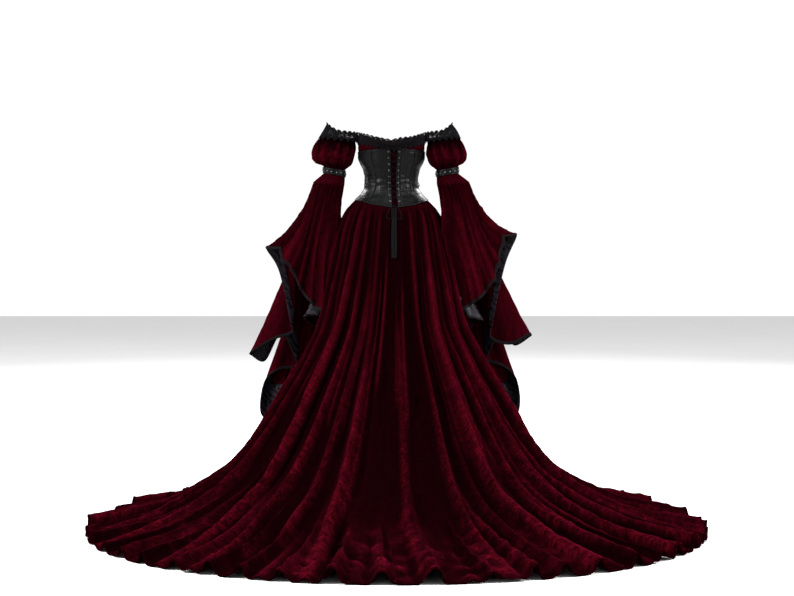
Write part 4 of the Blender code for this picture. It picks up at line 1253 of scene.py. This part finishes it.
def make_bands():
    angle = np.arange(120) * 3.0
    for side_name, side in SIDES:
        rows_out, rows_in = [], []
        for t in np.linspace(-1, 1, 18):
            section = (BAND_SECTION[0] - t * BAND_HEIGHT / 2, *BAND_SECTION[1:])
            crown = 0.0006 * (1 - t**6) - 0.0007 * math.exp(-(((abs(t) - 0.80) / 0.05) ** 2))
            down = np.full(angle.shape, t * 0.011)
            creases = 0.0003 * waves(np.radians(angle) * 0.04, down, 61 + side, 0.006, 0.02)
            thick = (BAND_CLEARANCE + LEATHER - 0.0004 + crown + creases)[:, None]
            rows_out.append(ring(section, angle, side) + away_from_arm(section, angle, side) * thick)
            rows_in.append(ring(section, angle, side, BAND_CLEARANCE))
        outer, inner = np.stack(rows_out), np.stack(rows_in)
        node = f"arm_band_{side_name}"
        shell(f"{node}_leather", outer, inner, LEATHER_LOOK, True, side > 0, None, [node])
        middle = outer[9]
        way = unit(away_from_arm(BAND_SECTION, angle, side))
        loop = np.concatenate([middle, middle[:1]])
        travel = lengths_along(loop[:, None, :], 0)[:, 0]
        number = int(round(travel[-1] / STUD_SPACING))
        points, faces = [], []
        for k in range(number):
            at = travel[-1] * k / number
            centre = np.array([np.interp(at, travel, loop[:, c]) for c in range(3)])
            closed = np.concatenate([way, way[:1]])
            up = unit(np.array([np.interp(at, travel, closed[:, c]) for c in range(3)]))
            dome(centre - up * 0.0002, up, STUD_RADIUS, STUD_RADIUS * 0.75, points, faces)
        mesh = bpy.data.meshes.new(f"{node}_studs")
        mesh.from_pydata([tuple(p) for p in points], [], faces)
        mesh.materials.append(STUD_LOOK)
        mesh.shade_smooth()
        piece(f"{node}_studs", mesh)
        for label, row in (("top", 2), ("low", 15)):
            path = np.concatenate([outer[row], outer[row][:1]])
            closed = np.concatenate([way, way[:1]])
            stitches(f"{node}_stitch_{label}", path, closed, 0.0026)


def hem_loop(side):
    out, up = (4, 5) if side > 0 else (2, 3)
    keys = np.array([(side * row[out], row[1], row[up] - WAIST_HEIGHT) for row in BELL_HEM], float)
    count = len(keys)
    made, angles = [], []
    turns = [row[0] for row in BELL_HEM] + [BELL_HEM[0][0] + 360]
    for k in range(count):
        a, b, c, d = (keys[(k + n) % count] for n in (-1, 0, 1, 2))
        for s in range(BELL_FINE):
            t = s / BELL_FINE
            made.append(catmull(a, b, c, d, t))
            angles.append(turns[k] + (turns[k + 1] - turns[k]) * t)
    return np.array(made), np.array(angles)


def bell_surface(side):
    """Points of a bell sleeve's outer surface, the share of the way down of each row, and the painted light
    of each point: highlights on the tucks, the pleats of the cascade and the creases.
    """
    hem, angles = hem_loop(side)
    reach = int(BELL_SMOOTHING * BELL_FINE)
    even = sum(np.roll(hem, k, axis=0) for k in range(-reach, reach + 1)) / (2 * reach + 1)
    top = ring(BELL_TOP, angles, side)
    shoulder = ring(BELL_SHOULDER, angles, side)
    out = away_from_arm(BELL_SHOULDER, angles, side)
    hang = np.clip(np.cos(np.radians(angles - BELL_HANG_ANGLE)), 0, 1)
    inward = np.outer(hang, (-side * BELL_HANG, 0.0, 0.0))
    turn = np.radians(angles)
    shares = np.concatenate([np.linspace(-0.06, 0, 7)[:-1], np.linspace(0, 1, BELL_FINE_ROWS) ** 1.05])
    rng = np.random.default_rng(71 + side)
    creases = []
    for k in range(BELL_CREASES):
        place = (k + rng.uniform(0.2, 0.8)) * BELL_CREASED_TO / BELL_CREASES
        width = rng.uniform(2.5, 7)
        size = rng.uniform(0.5, 1.1)
        creases.append((place, width, size, rng.uniform(-14, 22), rng.uniform(-0.1, 0.45)))
    rows, light = [], []
    for share in shares:
        tuck = 0.0012 * np.cos(23 * turn + 1.4 * np.sin(4 * turn))
        tuck = tuck + 0.0008 * np.cos(37 * turn + np.sin(5 * turn))
        if share <= 0:
            part = float(smooth(1 + share / 0.06))
            row = top + (shoulder - top) * (1 + share / 0.06)
            rows.append(row + out * (tuck * part)[:, None])
            # Painted highlights on the tucks below the band.
            light.append(0.40 + 90 * tuck)
            continue
        row = shoulder + (even - shoulder) * share + (hem - even) * share**BELL_PLEAT_POWER
        middle = 4 * share * (1 - share)
        wave = np.cos(turn * BELL_FOLDS + BELL_FOLD_START) * (angles < PLEATS_FROM)
        relief = 0.7 * BELL_FOLD_DEPTH * middle * (wave - 1) / 2
        relief = relief + tuck * float(smooth((0.30 - share) / 0.30))
        # shade is painted light: highlights on the tucks, the rippled pleats of the cascade and the creases,
        # darker between them.
        shade = 0.15 + 120 * tuck * float(smooth((0.30 - share) / 0.30))
        cascade = smooth((angles - PLEATS_FROM + 10) / 20)
        ripple = np.cos(turn * 31 + 2.2 * np.sin(turn * 7) + 1.5 * share)
        shade = shade + cascade * (0.40 + 0.34 * ripple * abs(ripple) ** 0.3)
        relief = relief + cascade * 0.0018 * ripple * share
        for centre, width, size, bend, start in creases:
            away = np.abs(turned(angles - centre - bend * share))
            window = float(smooth((share - start) / 0.2)) * (0.35 + 0.65 * share)
            quiet = smooth((PLEATS_FROM - angles) / 20)
            fold = np.exp(-((away / width) ** 1.3))
            relief = relief + 0.014 * size * window * quiet * (fold - 0.16)
            shade = shade + 0.75 * size * window * fold
        down = np.full_like(turn, share * 0.5)
        uneven = waves(turn * 0.12, down, 81 + side, 0.03, 0.09)
        relief = relief + 0.0012 * uneven * min(share * 3, 1.0)
        near = np.exp(-(((angles - BELL_NEAR_ANGLE) / BELL_NEAR_SPREAD) ** 2))
        near = near * float(smooth(share / 0.45))
        inward_by, back_by = BELL_NEAR_RIGHT if side > 0 else BELL_NEAR_LEFT
        row = row + np.outer(near, (-side * inward_by, -back_by, 0.0))
        rows.append(row + inward * middle + out * relief[:, None])
        light.append(shade)
    return np.stack(rows), shares, np.stack(light)


def make_bells():
    for side_name, side in SIDES:
        flip = side > 0
        points, shares, light = bell_surface(side)
        way = grid_normals(points, True, flip)
        node = f"bell_{side_name}"
        inner = points - way * SLEEVE_VELVET
        # Painted light for the inner face: lighter than the outer face, lifting the shade inside the sleeve.
        within = 0.42 + 1.2 * light
        made = shell(
            f"{node}_cloth", points, inner, VELVET_LOOK, True, flip, None, [node], light, within
        )

        lined = shares > LINING_FROM
        base, out = points[lined], way[lined]
        depth = SLEEVE_VELVET + SEAM_GAP
        upper, lower = base - out * depth, base - out * (depth + LINING * 0.7)
        node = f"bell_lining_{side_name}"
        lining = shell(f"{node}_cloth", upper, lower, LINING_LOOK, True, flip, None, [node])

        hem, above, out = points[-1], points[-3], way[-1]
        rise = unit(above - hem)
        strip, cover = [], []
        for k, t in enumerate(np.linspace(1, 0, 9)):
            base = hem + rise * TRIM_WIDTH * t + out * (TRIM_LIFT * t + SEAM_GAP)
            crown = BRAID * (0.55 + 0.75 * math.sin(math.pi * min(max(t, 0.0), 1.0)))
            travel = lengths_along(np.concatenate([hem, hem[:1]])[:, None, :], 0)[:-1, 0]
            plait = 0.00035 * np.cos(2 * np.pi * travel / 0.0045 + (2.2 if k % 4 < 2 else 0.0))
            strip.append(base)
            cover.append(base + out * (crown + plait)[:, None])
        node = f"bell_trim_{side_name}"
        cover, strip = np.stack(cover), np.stack(strip)
        trim = shell(f"{node}_braid", cover, strip, BRAID_LOOK, True, flip, None, [node])
        declare_sheet(points, True)
        declare_sheet(upper, True)


# Lacing and bow


def normal_at(angle, height):
    turn = 1.0
    step = 0.004
    along = body_point(angle + turn, height) - body_point(angle - turn, height)
    down = body_point(angle, height - step) - body_point(angle, height + step)
    return unit(np.cross(down, along))


def lacing_point(share, height, out):
    angle = share * float(gap_angle(PLACKET_WIDTH / 2, height))
    return body_point(angle, height) + normal_at(angle, height) * out


def make_lacing():
    top, low = LACING_HEIGHTS
    drop = (top - low) / (LACING_STEPS - 1)
    out = CORSET_CLEARANCE[1] + PLACKET_LEATHER + 0.0006 + LACE_CORD / 2
    for name, start, lift in (("lacing_under", 1, 0.0), ("lacing_over", -1, LACE_CORD * 0.9)):
        points = []
        for k in range(LACING_STEPS):
            side = start if k % 2 == 0 else -start
            points.append(lacing_point(side, top - drop * k, out - 0.0012))
            if k < LACING_STEPS - 1:
                for across in (0.3, 0.5, 0.7):
                    rise = lift * (1 if across == 0.5 else 0.6)
                    share = side * (1 - 2 * across)
                    points.append(lacing_point(share, top - drop * (k + across), out + rise))
        tube(f"{name}_cord", softened(points, 5), LACE_CORD * 0.86, CORD_LOOK, [name])

    for side_name, side in SIDES:
        points, quads = [], []
        for k in range(LACING_STEPS):
            height = top - drop * k
            angle = side * float(gap_angle(PLACKET_WIDTH / 2, height))
            up = normal_at(angle, height)
            centre = lacing_point(side, height, CORSET_CLEARANCE[1] + PLACKET_LEATHER - 0.0004)
            one = unit(np.cross(up, np.array([0.0, 0.0, 1.0])))
            two = np.cross(up, one)
            base = len(points)
            for j in range(EYELET_AROUND):
                spin = 2 * math.pi * j / EYELET_AROUND
                spoke = one * math.cos(spin) + two * math.sin(spin)
                for i in range(WIRE_AROUND):
                    turn = 2 * math.pi * i / WIRE_AROUND
                    reach = EYELET_RADIUS + EYELET_WIRE * math.cos(turn)
                    points.append(centre + spoke * reach + up * EYELET_WIRE * math.sin(turn))
            for j in range(EYELET_AROUND):
                here = base + j * WIRE_AROUND
                after = base + ((j + 1) % EYELET_AROUND) * WIRE_AROUND
                for i in range(WIRE_AROUND):
                    n = (i + 1) % WIRE_AROUND
                    quads.append((here + i, here + n, after + n, after + i))
        name = f"eyelets_{side_name}"
        piece(name, quick_mesh(name, np.array(points), np.array(quads), EYELET_LOOK))


def behind(x, height, out):
    wide = float(through(BODY_SECTIONS, height, 1))
    angle = math.degrees(math.asin(x / wide)) - float(through(BACK_TURN, height))
    fold = float(solid_fold(np.array([angle]), np.array([height]))[0])
    return body_point(angle, height, fold) - np.array([0.0, out, 0.0])


def make_bow():
    centre = behind(BOW_CENTRE, KNOT_HEIGHT, KNOT_OUT)
    strands = []
    for k in range(40):
        t = 2 * math.pi * k / 40
        up = 0.0036 * math.cos(t) * (1 + 0.3 * math.sin(3 * t))
        strands.append(centre + np.array([0.0043 * math.sin(t), 0.0018 * math.cos(2 * t), up]))
    wrap = []
    for k in range(28):
        t = 2 * math.pi * k / 28
        across = 0.0030 * math.sin(3 * t) * 0.4
        wrap.append(centre + np.array([across, 0.0026 * math.sin(t), 0.0044 * math.cos(t)]))
    tube("bow_knot_wrap", np.array(strands + strands[:1]), LACE_CORD * 1.15, CORD_LOOK, ["bow_knot"])
    tube("bow_knot_cross", np.array(wrap + wrap[:1]), LACE_CORD * 1.1, CORD_LOOK, ())
    for side_name, side in SIDES:
        points = []
        for k in range(37):
            share = k / 36
            swell = math.sin(2 * math.pi * share) * LOOP_WIDTH / 2
            apart = LOOP_ENDS_APART * math.cos(math.pi * share)
            middle = LOOP_START + LOOP_LEAN * math.sin(math.pi * share)
            x = BOW_CENTRE + side * (middle + swell + apart)
            height = KNOT_HEIGHT - LOOP_LENGTH * math.sin(math.pi * share)
            points.append(behind(x, height, LOOP_OUT))
        points = np.array(points)
        name = f"bow_loop_{side_name}"
        loop = tube(f"{name}_cord", points, LACE_CORD, CORD_LOOK, [name])
    for side_name, side in SIDES:
        middle = BOW_CENTRE + side * (TAPE_WIDTH + TAPE_GAP) / 2
        outer, inner, path = [], [], []
        for height in np.linspace(TAPE_TOP, TAPE_TOP - TAPE_LENGTH, 60):
            edges = (middle - TAPE_WIDTH / 2, middle + TAPE_WIDTH / 2)
            far = TAPE_OUT + TAPE_THICKNESS
            back = max(-behind(x, height, far)[1] for x in (*edges, middle))
            drop = height - WAIST_HEIGHT
            down = (TAPE_TOP - height) / TAPE_LENGTH
            row_out, row_in = [], []
            for j in range(9):
                t = j / 8
                x = edges[0] + (edges[1] - edges[0]) * t + 0.0006 * math.sin(9 * down + side)
                bulge = 0.0005 * math.sin(math.pi * t) - 0.0002 * math.cos(4 * math.pi * t)
                row_out.append((x, -back - bulge, drop))
                row_in.append((x, -back + TAPE_THICKNESS * 0.8 - bulge, drop))
            outer.append(row_out)
            inner.append(row_in)
            path.append((middle + 0.0006 * math.sin(9 * down + side), -back + TAPE_THICKNESS / 2, drop))
        name = f"lace_end_{side_name}"
        tape = shell(f"{name}_tape", np.array(outer), np.array(inner), TAPE_LOOK, nodes=[name])
        path = np.array(path)


def make_side_ties():
    """A small crossed tie of thin cord on the leather at each side of the waist."""
    for side_name, side in SIDES:
        angle = side * TIE_ANGLE
        out = CORSET_CLEARANCE[1] + LEATHER + 0.0010
        for label, tilt in (("a", 1), ("b", -1)):
            points = []
            for k in range(9):
                t = k / 8 * 2 - 1
                lift = out + 0.0016 * (1 - t * t) * (1 if label == "a" else 1.9)
                place = body_point(angle + 5.0 * t * tilt, TIE_HEIGHT + 0.008 * t)
                points.append(place + normal_at(angle, TIE_HEIGHT) * lift)
            tube(f"side_tie_{side_name}_{label}", softened(points, 3), TIE_CORD, CORD_LOOK, ())


make_studio()
make_bow()
make_lacing()
make_skirt()
make_bands()
make_bodice()
make_corset()
make_neck_lace()
make_sleeve_lace()
make_puffs()
make_bells()
make_side_ties()
